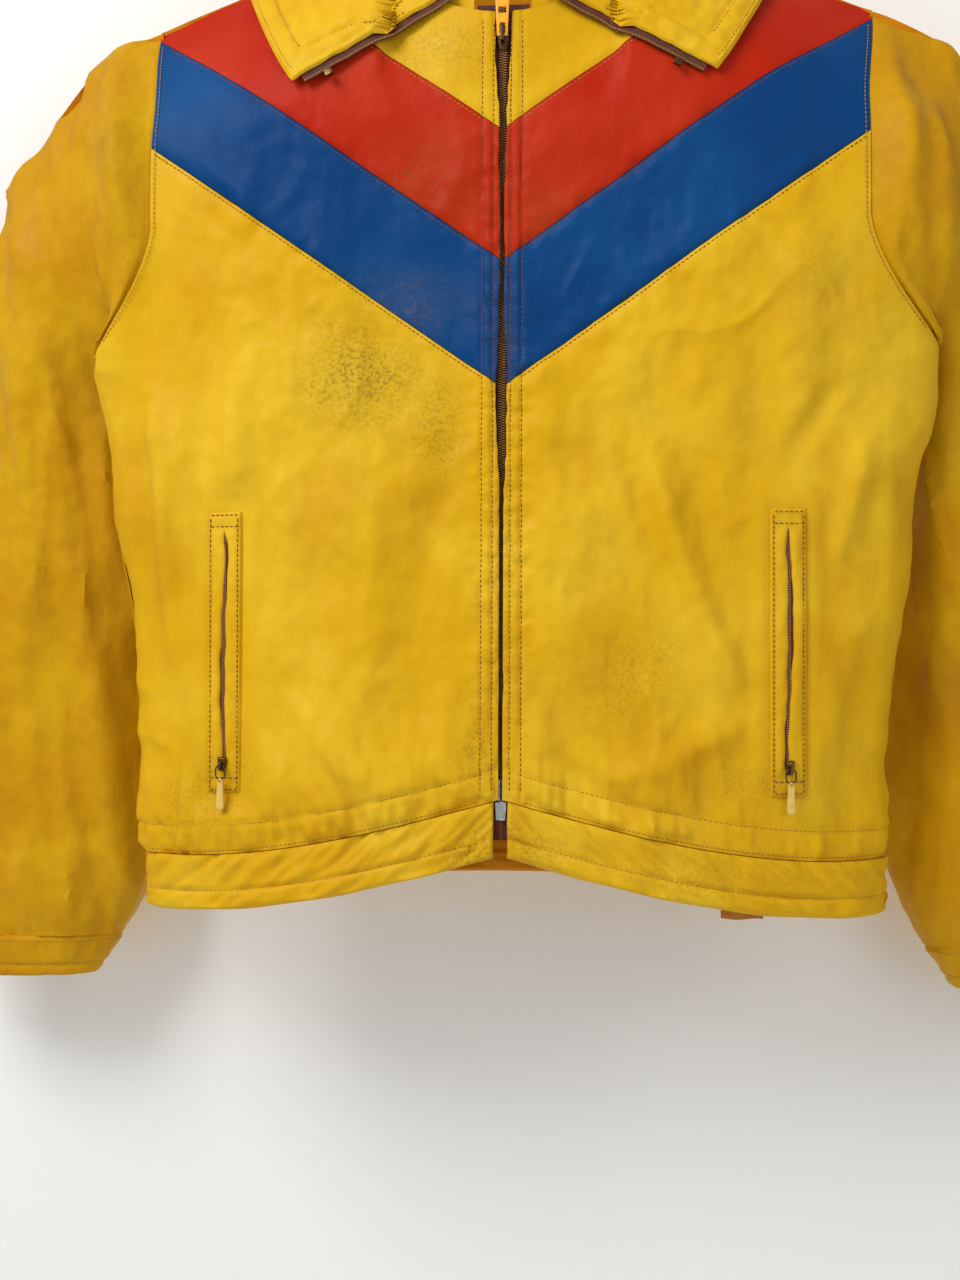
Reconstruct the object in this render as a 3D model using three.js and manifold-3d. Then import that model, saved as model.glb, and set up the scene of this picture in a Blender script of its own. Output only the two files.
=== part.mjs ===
// Ski jacket with a chevron yoke, hanging from the loop at the back of its neck. Millimetres, +Z up,
// +X to the wearer's left, -Y to the front. The origin is where a hook bears inside the hang loop.
import * as THREE from "three";
import { mergeVertices } from "three/addons/utils/BufferGeometryUtils.js";
import Module from "manifold-3d";

const wasm = await Module();
wasm.setup();

const { lerp, clamp, smoothstep, degToRad } = THREE.MathUtils;
const LEFT = 1; // the wearer's left is +X
const RIGHT = -1;
const SIDES = { left: LEFT, right: RIGHT };

// Body outline
const NECK_FRONT_DROP = 74;
const NECK_BACK_DROP = 18;
const NECK_BACK_BULGE = 18; // how far the back of the neck stands behind the shoulder seam
const SHOULDER_DROP = 62;
const ARMHOLE_INSET = 6; // the armhole runs this far inside the shoulder tip
const ARMHOLE_STRAIGHT = 200; // depth below the neck at which the armhole starts to flare
const ARMPIT_DEPTH = 275;
const CHEST_HALF = 268;
const SHOULDER_HALF = CHEST_HALF - 39;
const NECK_HALF = CHEST_HALF - 192; // centre to the neck end of the shoulder seam
const HEM_HALF = CHEST_HALF - 34;
const LENGTH = 626; // neck to hem at the side seams
const FRONT_HEM_RISE = 38; // the hem is this much higher at the zip
const BACK_HEM_RISE = 16;
const BAND_HEIGHT = 34;

// Body depth
const RIDGE_Y = -12; // shoulder seam
const SIDE_Y = -25; // side seam
const ZIP_TOP_Y = -70;
const ZIP_LEAN = 0.0388; // forward lean of the zip line per millimetre down
const BACK_DEPTH = 45;
const SECTION_POWER = 2.4; // 2 would be an ellipse, more is boxier
const ARMHOLE_FULLNESS = 34; // extra half width behind the armhole's section
const SHOULDER_ROUND = 110; // depth over which the shoulder rolls into the chest

// Cloth
const SHELL = 2.2;
const SEAM = 0.8; // gap between two pieces sewn edge to edge
const LINING_DEPTH = 9; // from the outer face to the lining's outer face
const LINING = 1.2;
const LINING_TOP = 45; // the lining stops this far below the shoulder seam
const BAND_OUT = 1;
const BAND_IN = 4.4;
const LINING_SIDE = 0.16; // radians left free at the side seam

// Chevron: each line crosses the zip at its height and rises outwards
const CHEVRON_SLOPE = 0.7;
const YOKE_LINE = -147;
const RED_LINE = -227.4;
const BLUE_LINE = -304.8;
const YOKE_TIP = 6; // the yoke stops this far short of its point

// Main zip, in a frame that follows the zip line
const PLACKET_HALF_GAP = 2.6;
const PLACKET_FLARE = 3.6;
const PLACKET_FLARE_LENGTH = 45;
const COIL_INNER = 0.55;
const COIL_WIDTH = 2.3;
const COIL_BACK = 4.6; // behind the placket's face
const COIL_DEPTH = 2.1;
const TAPE_WIDTH = 13.5;
const TAPE_THICK = 0.7;
const TAPE_END = 8; // the tape stops this far above the front hem
const FIT = 0.3; // clearance between hard pieces

const SLIDER = { width: 7.6, length: 15, plate: 0.9, nose: -NECK_FRONT_DROP - 23, post: 5 };
const BRIDGE = { width: 2.2, length: 10, bar: 1.2, reach: 4.6 };
const TAB = { length: 27, top: 9, bottom: 6.6, thick: 1.4, bail: 3.4, bailLength: 7, foot: 1.2 };
const TAB_WINDOW = { width: 5, height: 4, above: 14 };
const BOX = { width: 7.4, height: 11.4, bottom: FRONT_HEM_RISE + 21 - LENGTH, depth: 5 };
const PIN = { length: 13, width: 1.2 };

// Pockets
const POCKET_X = CHEST_HALF - 96;
const POCKET_LENGTH = 173;
const POCKET_TOP = POCKET_LENGTH + 74 - LENGTH; // the pocket's low end stays put over the hem
const WELT_WIDTH = 22;
const WELT = 1.2;
const WELT_LIFT = 1.3; // from the panel's tangent plane
const POCKET_MOUTH = 9;
const POCKET_END = 11; // welt beyond each end of the mouth
const POCKET_SLOT = 7;
const CHAIN_WIDTH = 8.4;
const POCKET_COIL = 3.4;
const POCKET_SLIDER = { width: 6.4, length: 9, thick: 2.2 };
const RING = { half: 4.2, height: 9.5, wire: 1 };
const PULL = { width: 5, length: 18, thick: 1.3 };
const BAG = { inner: POCKET_X - 80, outer: POCKET_X + 14, drop: 28, depth: 3.6, thick: 2.8 };

// Collar, folded down
const STAND = 1.6;
const STAND_FRONT = 10;
const STAND_BACK = 26;
const STAND_INSET = 2;
const STAND_START = 15; // degrees from the centre front
const LEAF = 4;
const LEAF_LIFT = 3.2;
const LEAF_OUTSET = 4.4;
const LEAF_START = 21; // degrees round the neck
const LEAF_SPLIT = 87;
const LEAF_CORNER = { x: NECK_HALF + 53, z: -NECK_FRONT_DROP - 41 };
const LEAF_SHOULDER = 94; // length of the leaf along the shoulder
const LEAF_BACK = 104; // depth of the leaf down the centre back
const COLLAR_TAPE = { width: 7, thick: 1, length: 82 };
const TOP_STOP = { width: 3.4, length: 5, thick: 2.6 };

// Sleeves, as stations: depth below the armpit, inner and outer reach, and half the thickness
const SLEEVE_Y = 27;
const BICEPS = station(27, -18, 83, 43);
const ELBOW = station(117, -28, 104, 38);
const FOREARM = station(285, -32, 122, 31);
const CUFF_TOP = station(380, -2, 124, 25);
const CUFF_END = station(408, 16, 122, 21);
const ARMHOLE_CLEAR = 5;
const CAP_PUSH = 0.36; // how squarely the sleeve leaves the shoulder
const CAP_DROP = 0.42;
const ELBOW_GAP = 1.2;
const SLEEVE = 2.2;
const SLEEVE_LINING = { depth: 4, thick: 1.2, start: 0.66 };
const CUFF = { out: 0.6, in: 4 };

// Small trim
const LOOP = { half: 27, drop: 25, width: 4.5, thick: 1.4, y: -1 };
const HEM_TAB = { x: 148, width: 27, length: 34, thick: 1.2, below: 20, inside: 9 };
const LABEL = { half: 24, top: -88, height: 26, thick: 0.7, clear: 2.5 };

const yellow = new THREE.MeshStandardMaterial({ color: 0xe0a914, roughness: 0.55 });
const red = new THREE.MeshStandardMaterial({ color: 0xcf3410, roughness: 0.55 });
const blue = new THREE.MeshStandardMaterial({ color: 0x034a8c, roughness: 0.55 });
const liningCloth = new THREE.MeshStandardMaterial({ color: 0xdf8d02, roughness: 0.45 });
const zipTape = new THREE.MeshStandardMaterial({ color: 0x4f1c08, roughness: 0.8 });
const zipCoil = new THREE.MeshStandardMaterial({ color: 0xa07030, roughness: 0.5 });
const bronze = new THREE.MeshStandardMaterial({ color: 0x5a4528, roughness: 0.4, metalness: 1 });
const aluminium = new THREE.MeshStandardMaterial({ color: 0xc9ced0, roughness: 0.3, metalness: 1 });
const amber = new THREE.MeshStandardMaterial({ color: 0xf2ae12, roughness: 0.35 });
const enamel = new THREE.MeshStandardMaterial({ color: 0xd8b23c, roughness: 0.35 });
const labelCloth = new THREE.MeshStandardMaterial({ color: 0xe8e2d2, roughness: 0.8 });

const jacket = new THREE.Group();

/** A sleeve's section, placed from the armpit and from the width of the chest. */
function station(below, inner, outer, half) {
  return { z: -ARMPIT_DEPTH - below, inner: CHEST_HALF + inner, outer: CHEST_HALF + outer, half };
}

/** Adds one closed piece to a group as a named mesh. */
function add(name, geometry, material, parent = jacket) {
  const mesh = new THREE.Mesh(geometry, material);
  mesh.name = name;
  parent.add(mesh);
  return mesh;
}

/** Six times the signed volume of an indexed geometry. */
function signedVolume(geometry) {
  const at = geometry.attributes.position;
  const index = geometry.index.array;
  const [a, b, c] = [new THREE.Vector3(), new THREE.Vector3(), new THREE.Vector3()];
  let sum = 0;
  for (let i = 0; i < index.length; i += 3) {
    a.fromBufferAttribute(at, index[i]);
    b.fromBufferAttribute(at, index[i + 1]);
    c.fromBufferAttribute(at, index[i + 2]);
    sum += a.dot(b.cross(c));
  }
  return sum;
}

/** Turns every face of a closed geometry outwards. */
function faceOut(geometry) {
  if (signedVolume(geometry) < 0) geometry.index.array.reverse();
  geometry.computeVertexNormals();
  return geometry;
}

/** Unit normal of the surface fn(u, v), pointing towards the core point. */
function inwardNormal(fn, u, v, core, wrap) {
  const step = 0.004;
  const [u0, u1] = wrap ? [u - step, u + step] : [Math.max(0, u - step), Math.min(1, u + step)];
  const [v0, v1] = [Math.max(0, v - step), Math.min(1, v + step)];
  const along = fn(u1, v).sub(fn(u0, v));
  const across = fn(u, v1).sub(fn(u, v0));
  const normal = along.cross(across).normalize();
  return normal.dot(core.clone().sub(fn(u, v))) < 0 ? normal.negate() : normal;
}

/**
 * A closed solid of cloth on the surface fn(u, v), from `out` to `in` millimetres below it.
 * coreOf(point) names a point on the inner side. A wrapped sheet joins u = 1 to u = 0.
 */
function sheet(fn, coreOf, { cols, rows, out = 0, into, wrap = false }) {
  const across = wrap ? cols : cols + 1;
  const points = [];
  for (const depth of [out, into]) {
    for (let row = 0; row <= rows; row++) {
      for (let col = 0; col < across; col++) {
        const [u, v] = [col / cols, row / rows];
        const point = fn(u, v);
        points.push(...point.addScaledVector(inwardNormal(fn, u, v, coreOf(point), wrap), depth));
      }
    }
  }
  const layer = across * (rows + 1);
  const at = (side, row, col) => side * layer + row * across + (col % across);
  const faces = [];
  const quad = (a, b, c, d) => faces.push(a, b, c, a, c, d);
  for (let row = 0; row < rows; row++) {
    for (let col = 0; col < cols; col++) {
      quad(at(0, row, col), at(0, row, col + 1), at(0, row + 1, col + 1), at(0, row + 1, col));
      quad(at(1, row, col), at(1, row + 1, col), at(1, row + 1, col + 1), at(1, row, col + 1));
    }
  }
  for (let col = 0; col < cols; col++) {
    quad(at(0, 0, col + 1), at(0, 0, col), at(1, 0, col), at(1, 0, col + 1));
    quad(at(0, rows, col), at(0, rows, col + 1), at(1, rows, col + 1), at(1, rows, col));
  }
  for (let row = 0; row < rows && !wrap; row++) {
    quad(at(0, row, 0), at(0, row + 1, 0), at(1, row + 1, 0), at(1, row, 0));
    quad(at(0, row + 1, cols), at(0, row, cols), at(1, row, cols), at(1, row + 1, cols));
  }
  const geometry = new THREE.BufferGeometry();
  geometry.setAttribute("position", new THREE.Float32BufferAttribute(points, 3));
  geometry.setIndex(faces);
  return faceOut(geometry);
}

/** A manifold-3d solid from a closed geometry. */
function solid(geometry) {
  const bare = geometry.clone();
  bare.deleteAttribute("normal");
  bare.deleteAttribute("uv");
  const merged = mergeVertices(bare, 1e-4);
  const vertProperties = merged.attributes.position.array;
  const triVerts = new Uint32Array(merged.index.array);
  return new wasm.Manifold(new wasm.Mesh({ numProp: 3, vertProperties, triVerts }));
}

/** A geometry from a manifold-3d solid. */
function geometryOf(manifold) {
  const mesh = manifold.getMesh();
  const geometry = new THREE.BufferGeometry();
  geometry.setAttribute("position", new THREE.Float32BufferAttribute(mesh.vertProperties, 3));
  geometry.setIndex([...mesh.triVerts]);
  geometry.computeVertexNormals();
  return geometry;
}

/** The union of several closed geometries. */
function joined(...parts) {
  return geometryOf(parts.map(solid).reduce((sum, part) => sum.add(part)));
}

/** A box given by its low and high corners. */
function box(low, high) {
  const size = high.map((value, i) => value - low[i]);
  return new THREE.BoxGeometry(...size).translate(...low.map((value, i) => value + size[i] / 2));
}

/** A flat plate: an outline in X and Z, extruded in +Y from yLow. */
function plate(shape, yLow, thick) {
  const flat = new THREE.ExtrudeGeometry(shape, { depth: thick, bevelEnabled: false });
  return flat.rotateX(Math.PI / 2).translate(0, yLow + thick, 0);
}

/** A rectangle in X and Z as a shape, or as a hole in one. */
function rectangle(kind, x0, z0, x1, z1) {
  const corners = [[x0, z0], [x1, z0], [x1, z1], [x0, z1]];
  return new kind(corners.map(([x, z]) => new THREE.Vector2(x, z)));
}

// ---- The body's surface ----

/** Half the body's width at a height, as its side seam or the section behind the armhole. */
function halfWidth(z) {
  if (z > -ARMPIT_DEPTH) {
    return CHEST_HALF + ARMHOLE_FULLNESS * smoothstep(z, -ARMPIT_DEPTH, 90 - ARMPIT_DEPTH);
  }
  const down = (-ARMPIT_DEPTH - z) / (LENGTH - ARMPIT_DEPTH);
  return lerp(CHEST_HALF, HEM_HALF, Math.sin((Math.PI / 2) * clamp(down * 1.1, 0, 1)) ** 1.3);
}

/** Where a panel ends at a height: on the armhole, or on the side seam below it. */
function outerEdge(z) {
  if (z <= -ARMPIT_DEPTH) return halfWidth(z);
  const straight = SHOULDER_HALF - ARMHOLE_INSET * (1 - smoothstep(z, -130, -SHOULDER_DROP));
  const flare = clamp((-ARMHOLE_STRAIGHT - z) / (ARMPIT_DEPTH - ARMHOLE_STRAIGHT), 0, 1);
  return lerp(straight, CHEST_HALF, flare ** 1.6);
}

const zipY = (z) => ZIP_TOP_Y + ZIP_LEAN * (z + NECK_FRONT_DROP);
const bow = (share) => (1 - Math.min(1, Math.abs(share)) ** SECTION_POWER) ** (1 / SECTION_POWER);
const neckArc = (x) => Math.sqrt(Math.max(0, 1 - (x / NECK_HALF) ** 2));

/** Height of the neckline or the shoulder seam over a place x. */
function topEdge(x, neckDrop) {
  if (Math.abs(x) < NECK_HALF) return -neckDrop * neckArc(x);
  return (-SHOULDER_DROP * (Math.abs(x) - NECK_HALF)) / (SHOULDER_HALF - NECK_HALF);
}

/** A point of the front's outer face. */
function frontPoint(x, z) {
  const top = topEdge(x, NECK_FRONT_DROP);
  const rolled = Math.sin((Math.PI / 2) * clamp((top - z) / SHOULDER_ROUND, 0, 1));
  const atTop = RIDGE_Y - ZIP_TOP_Y - 2.5 - (RIDGE_Y - ZIP_TOP_Y - 2.5) * neckArc(x);
  const atChest = (SIDE_Y - zipY(z)) * (1 - bow(x / halfWidth(z)));
  return new THREE.Vector3(x, zipY(z) + lerp(atTop, atChest, rolled) - SEAM / 2, z);
}

/** A point of the back's outer face. */
function backPoint(x, z) {
  const top = topEdge(x, NECK_BACK_DROP);
  const rolled = Math.sin((Math.PI / 2) * clamp((top - z) / SHOULDER_ROUND, 0, 1));
  const atTop = RIDGE_Y + 2.5 + NECK_BACK_BULGE * neckArc(x);
  const atChest = SIDE_Y + BACK_DEPTH * bow(x / halfWidth(z));
  return new THREE.Vector3(x, lerp(atTop, atChest, rolled) + SEAM / 2, z);
}

const bodyCore = (point) => new THREE.Vector3(point.x * 0.6, SIDE_Y, Math.min(point.z, -90) - 30);

/** The angle round the body's section at which it reaches x. */
const sectionAngle = (x, z) => Math.asin(Math.min(1, x / halfWidth(z)) ** (SECTION_POWER / 2));

/** Where a share u of the way out meets the line z = rowAt(x), solved by stepping to rest. */
function onRow(rowAt, innerAt, outerAt, u) {
  let [x, z] = [100, rowAt(100)];
  for (let i = 0; i < 40; i++) {
    const angle = lerp(sectionAngle(innerAt(z), z), sectionAngle(outerAt(z), z), u);
    x = halfWidth(z) * Math.sin(angle) ** (2 / SECTION_POWER);
    z = lerp(z, rowAt(x), 0.6);
  }
  return [x, z];
}

const placketEdge = (z) => {
  const flare = smoothstep(z, -NECK_FRONT_DROP - PLACKET_FLARE_LENGTH, -NECK_FRONT_DROP);
  return PLACKET_HALF_GAP + PLACKET_FLARE * flare;
};
const chevron = (height) => (x) => height + CHEVRON_SLOPE * x;
const frontHem = (x) => {
  const out = Math.sin((Math.PI / 2) * clamp(x / (HEM_HALF - 18), 0, 1));
  return -LENGTH + FRONT_HEM_RISE * (1 - out);
};
const backHem = (x) => -LENGTH + BACK_HEM_RISE * Math.cos((Math.PI / 2) * clamp(x / HEM_HALF, 0, 1));
const frontTop = (x) => topEdge(x, NECK_FRONT_DROP);
const panelEdge = (z) => (z > -ARMPIT_DEPTH ? outerEdge(z) - SEAM : outerEdge(z));

/** A sheet of the front between two lines, on one side. */
function frontSheet(side, lowAt, highAt, outerAt, layout) {
  const surface = (u, v) => {
    const rowAt = (x) => lerp(lowAt(x) + SEAM / 2, highAt(x) - SEAM / 2, v);
    const [x, z] = onRow(rowAt, layout.innerAt ?? placketEdge, outerAt, u);
    const point = frontPoint(x, z);
    return point.setX(point.x * side);
  };
  return sheet(surface, bodyCore, layout);
}

/** A sheet of the back between two lines, over its whole width. */
function backSheet(lowAt, highAt, outerAt, layout) {
  const surface = (u, v) => {
    const rowAt = (x) => lerp(lowAt(x) + SEAM / 2, highAt(x) - SEAM / 2, v);
    const [x, z] = onRow(rowAt, () => 0, outerAt, Math.abs(2 * u - 1));
    const point = backPoint(x, z);
    return point.setX(point.x * Math.sign(2 * u - 1));
  };
  return sheet(surface, bodyCore, layout);
}

// ---- Body pieces ----

function addBodyPanels() {
  const yokeEnd = (NECK_HALF * SHOULDER_DROP / (SHOULDER_HALF - NECK_HALF) - YOKE_LINE)
    / (CHEVRON_SLOPE + SHOULDER_DROP / (SHOULDER_HALF - NECK_HALF)) - YOKE_TIP;
  const underShoulder = (lineAt) => (x) => Math.min(lineAt(x), frontTop(x));
  const bandTop = (x) => frontHem(x) + BAND_HEIGHT;
  const grid = { cols: 9, rows: 3, into: SHELL };
  for (const [hand, side] of Object.entries(SIDES)) {
    const slot = solid(pocketSlot(side));
    const lowerGrid = { cols: 11, rows: 12, into: SHELL };
    const lower = frontSheet(side, bandTop, chevron(BLUE_LINE), panelEdge, lowerGrid);
    add(`front_panel_${hand}`, geometryOf(solid(lower).subtract(slot)), yellow);
    add(`blue_band_${hand}`, frontSheet(side, chevron(BLUE_LINE), chevron(RED_LINE), panelEdge, grid), blue);
    const redTop = underShoulder(chevron(YOKE_LINE));
    add(`red_band_${hand}`, frontSheet(side, chevron(RED_LINE), redTop, panelEdge, grid), red);
    const yokeGrid = { cols: 10, rows: 4, into: SHELL };
    add(`yoke_${hand}`, frontSheet(side, chevron(YOKE_LINE), frontTop, () => yokeEnd, yokeGrid), yellow);
    const bandGrid = { cols: 9, rows: 2, out: -BAND_OUT, into: BAND_IN, innerAt: () => BOX.width / 2 + 1 };
    add(`waistband_front_${hand}`, frontSheet(side, frontHem, bandTop, panelEdge, bandGrid), yellow);
  }
  const backBandTop = (x) => backHem(x) + BAND_HEIGHT;
  const backTop = (x) => topEdge(x, NECK_BACK_DROP);
  add("back_panel", backSheet(backBandTop, backTop, panelEdge, { cols: 22, rows: 14, into: SHELL }), yellow);
  const backBand = { cols: 18, rows: 2, out: -BAND_OUT, into: BAND_IN };
  add("waistband_back", backSheet(backHem, backBandTop, panelEdge, backBand), yellow);
}

/** How far out the lining reaches: short of the side seam by a fixed angle. */
function liningEdge(z) {
  const angle = sectionAngle(panelEdge(z), z) - LINING_SIDE;
  return halfWidth(z) * Math.sin(angle) ** (2 / SECTION_POWER);
}

function addLinings() {
  const grid = { rows: 12, out: LINING_DEPTH, into: LINING_DEPTH + LINING };
  const lower = (hemAt) => (x) => hemAt(x) + BAND_HEIGHT;
  const upper = (x) => Math.min(-SHOULDER_DROP / 2, frontTop(x)) - LINING_TOP;
  for (const [hand, side] of Object.entries(SIDES)) {
    const layout = { ...grid, cols: 8, innerAt: () => TAPE_WIDTH + 6 };
    add(`lining_front_${hand}`, frontSheet(side, lower(frontHem), upper, liningEdge, layout), liningCloth);
  }
  const backUpper = () => -SHOULDER_DROP / 2 - LINING_TOP;
  add("lining_back", backSheet(lower(backHem), backUpper, liningEdge, { ...grid, cols: 14 }), liningCloth);
}

function addNeckLabel() {
  const surface = (u, v) => backPoint(lerp(-LABEL.half, LABEL.half, u), LABEL.top - LABEL.height * v);
  const out = LINING_DEPTH + LINING + LABEL.clear;
  const layout = { cols: 4, rows: 2, out, into: out + LABEL.thick };
  add("neck_label", sheet(surface, bodyCore, layout), labelCloth);
}

function addHangLoop() {
  const shoulderX = LOOP.half * 0.72;
  const shoulderZ = -LOOP.drop * 0.3;
  const path = new THREE.CatmullRomCurve3([
    new THREE.Vector3(-LOOP.half, LOOP.y, -LOOP.drop),
    new THREE.Vector3(-shoulderX, LOOP.y, shoulderZ),
    new THREE.Vector3(0, LOOP.y, LOOP.thick / 2),
    new THREE.Vector3(shoulderX, LOOP.y, shoulderZ),
    new THREE.Vector3(LOOP.half, LOOP.y, -LOOP.drop),
  ]);
  const [w, h] = [LOOP.width / 2, LOOP.thick / 2];
  const section = rectangle(THREE.Shape, -w, -h, w, h);
  add("hang_loop", new THREE.ExtrudeGeometry(section, { extrudePath: path, steps: 14 }), yellow);
}

// ---- Main zip ----

const zipTop = -NECK_FRONT_DROP + 6;
const zipEnd = frontHem(0) + TAPE_END;
const chainEnd = BOX.bottom + BOX.height + FIT;

/** A group whose own XZ plane is the placket's face and whose Z runs up the zip line. */
function zipFrame(parent) {
  const frame = new THREE.Group();
  frame.position.set(0, zipY(0), 0);
  frame.rotation.x = -Math.atan(ZIP_LEAN);
  parent.add(frame);
  return frame;
}

function addZipChain(frame) {
  const inner = COIL_INNER + COIL_WIDTH + FIT;
  const boxSide = BOX.width / 2 + FIT;
  const tapeY = COIL_BACK + (COIL_DEPTH - TAPE_THICK) / 2;
  for (const [hand, side] of Object.entries(SIDES)) {
    const outline = new THREE.Shape([
      [inner, zipTop], [inner, chainEnd], [boxSide, chainEnd], [boxSide, BOX.bottom - FIT],
      [inner, BOX.bottom - FIT], [inner, zipEnd], [inner + TAPE_WIDTH, zipEnd], [inner + TAPE_WIDTH, zipTop],
    ].map(([x, z]) => new THREE.Vector2(x * side, z)));
    add(`zip_tape_${hand}`, plate(outline, tapeY, TAPE_THICK), zipTape, frame);
    const coilLow = chainEnd + PIN.length + FIT;
    const xs = [COIL_INNER * side, (COIL_INNER + COIL_WIDTH) * side].sort((a, b) => a - b);
    const coil = box([xs[0], COIL_BACK, coilLow], [xs[1], COIL_BACK + COIL_DEPTH, zipTop]);
    add(`zip_coil_${hand}`, coil, zipCoil, frame);
    const pinXs = [COIL_INNER * side, (COIL_INNER + PIN.width) * side].sort((a, b) => a - b);
    const pinLow = [pinXs[0], COIL_BACK, chainEnd];
    const pin = box(pinLow, [pinXs[1], COIL_BACK + PIN.width, coilLow - FIT]);
    add(`zip_pin_${hand}`, pin, aluminium, frame);
  }
}

function addZipBox(frame) {
  const [half, middle] = [BOX.width / 2, COIL_BACK + COIL_DEPTH / 2];
  const body = box(
    [-half, middle - BOX.depth / 2, BOX.bottom],
    [half, middle + BOX.depth / 2, BOX.bottom + BOX.height],
  );
  add("zip_box", body, aluminium, frame);
}

/** Slider: two plates joined by a thin post between the coils, with a bridge in front. */
function addMainSlider(frame) {
  const { width, length, plate: thick, nose, post } = SLIDER;
  const front = COIL_BACK - FIT - thick;
  const back = COIL_BACK + COIL_DEPTH + FIT;
  const half = width / 2;
  const z1 = nose + length;
  const mid = nose + length / 2 + 1;
  const [bridgeLow, bridgeHigh] = [mid - BRIDGE.length / 2, mid + BRIDGE.length / 2];
  const b = BRIDGE.width / 2;
  const legs = [[bridgeLow, bridgeLow + BRIDGE.bar], [bridgeHigh - BRIDGE.bar, bridgeHigh]];
  const body = joined(
    box([-half, front, nose], [half, front + thick, z1]),
    box([-half, back, nose], [half, back + thick, z1]),
    box([-COIL_INNER + FIT, front, z1 - post], [COIL_INNER - FIT, back + thick, z1]),
    ...legs.map(([low, high]) => box([-b, -BRIDGE.reach, low], [b, front + thick / 2, high])),
    box([-b, -BRIDGE.reach, bridgeLow], [b, -BRIDGE.reach + BRIDGE.bar, bridgeHigh]),
  );
  add("main_slider", body, bronze, frame);
}

const tabFoot = SLIDER.nose + SLIDER.length / 2 - 1; // lowest edge of the pull tab
const tabY = -BRIDGE.reach + BRIDGE.bar + FIT;

function addMainPull(frame) {
  const [low, high] = [tabFoot, tabFoot + TAB.length];
  const [narrow, wide] = [TAB.bottom / 2, TAB.top / 2];
  const outline = new THREE.Shape([
    new THREE.Vector2(-narrow, low), new THREE.Vector2(narrow, low),
    new THREE.Vector2(wide, high), new THREE.Vector2(-wide, high),
  ]);
  const bailLow = low + TAB.foot;
  const bail = TAB.bail / 2;
  outline.holes.push(rectangle(THREE.Path, -bail, bailLow, bail, bailLow + TAB.bailLength));
  const [w, z] = [TAB_WINDOW.width / 2, low + TAB_WINDOW.above];
  outline.holes.push(rectangle(THREE.Path, -w, z, w, z + TAB_WINDOW.height));
  add("main_pull", plate(outline, tabY, TAB.thick), amber, frame);
}

// ---- Pockets ----

/** A frame on the front panel at the pocket: its XZ plane is the panel's tangent plane. */
function pocketFrame(side) {
  const middle = POCKET_TOP - POCKET_LENGTH / 2;
  const at = (x, z) => frontPoint(x, z).multiply(new THREE.Vector3(side, 1, 1));
  const reach = POCKET_LENGTH / 2;
  const up = at(POCKET_X, middle + reach).sub(at(POCKET_X, middle - reach)).normalize();
  const across = at(POCKET_X + 8, middle).sub(at(POCKET_X - 8, middle)).multiplyScalar(side);
  const inward = up.clone().cross(across).normalize();
  const square = new THREE.Matrix4().makeBasis(inward.clone().cross(up), inward, up);
  const ends = at(POCKET_X, middle + reach).add(at(POCKET_X, middle - reach)).multiplyScalar(0.5);
  const frame = new THREE.Group();
  frame.applyMatrix4(square.setPosition(ends));
  frame.updateMatrixWorld(true);
  return frame;
}

const mouthHalf = POCKET_LENGTH / 2 - POCKET_END;

/** The slit through the front panel, as a cutting body in the jacket's frame. */
function pocketSlot(side) {
  const reach = mouthHalf - 4;
  const cut = box([-POCKET_SLOT / 2, -12, -reach], [POCKET_SLOT / 2, 12, reach]);
  return cut.applyMatrix4(pocketFrame(side).matrixWorld);
}

function addPocket(hand, side) {
  const frame = pocketFrame(side);
  jacket.add(frame);
  const [w, reach, mouth] = [WELT_WIDTH / 2, POCKET_LENGTH / 2, POCKET_MOUTH / 2];
  const outline = rectangle(THREE.Shape, -w, -reach, w, reach);
  outline.holes.push(rectangle(THREE.Path, -mouth, -mouthHalf, mouth, mouthHalf));
  add(`pocket_welt_${hand}`, plate(outline, -WELT_LIFT - WELT, WELT), yellow, frame);
  addPocketChain(hand, frame);
  addPocketSlider(hand, frame);
  addPocketPull(hand, frame);
}

function addPocketChain(hand, frame) {
  const [half, coil, reach] = [CHAIN_WIDTH / 2, POCKET_COIL / 2, mouthHalf - FIT];
  const chain = joined(
    box([-half, -WELT_LIFT - 0.5, -reach], [half, -WELT_LIFT + 0.3, reach]),
    box([-coil, -WELT_LIFT - 1.2, -reach], [coil, -WELT_LIFT, reach]),
  );
  add(`pocket_zip_${hand}`, chain, zipTape, frame);
}

const pocketSliderFront = -WELT_LIFT - 1.2 - FIT - POCKET_SLIDER.thick;
const pocketSliderLow = -mouthHalf + 2;
const ringY = pocketSliderFront - 1.1;

/** Pocket slider: a block over the coil with an open bridge that holds the ring. */
function addPocketSlider(hand, frame) {
  const { width, length, thick } = POCKET_SLIDER;
  const [half, low, front] = [width / 2, pocketSliderLow, pocketSliderFront];
  const [bridgeLow, bridgeHigh] = [low + 1, low + 6];
  const body = joined(
    box([-half, front, low], [half, front + thick, low + length]),
    box([-0.9, front - 3, bridgeLow], [0.9, front + 1, bridgeLow + 1]),
    box([-0.9, front - 3, bridgeHigh - 1], [0.9, front + 1, bridgeHigh]),
    box([-0.9, front - 3, bridgeLow], [0.9, front - 2, bridgeHigh]),
  );
  add(`pocket_slider_${hand}`, body, bronze, frame);
}

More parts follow.
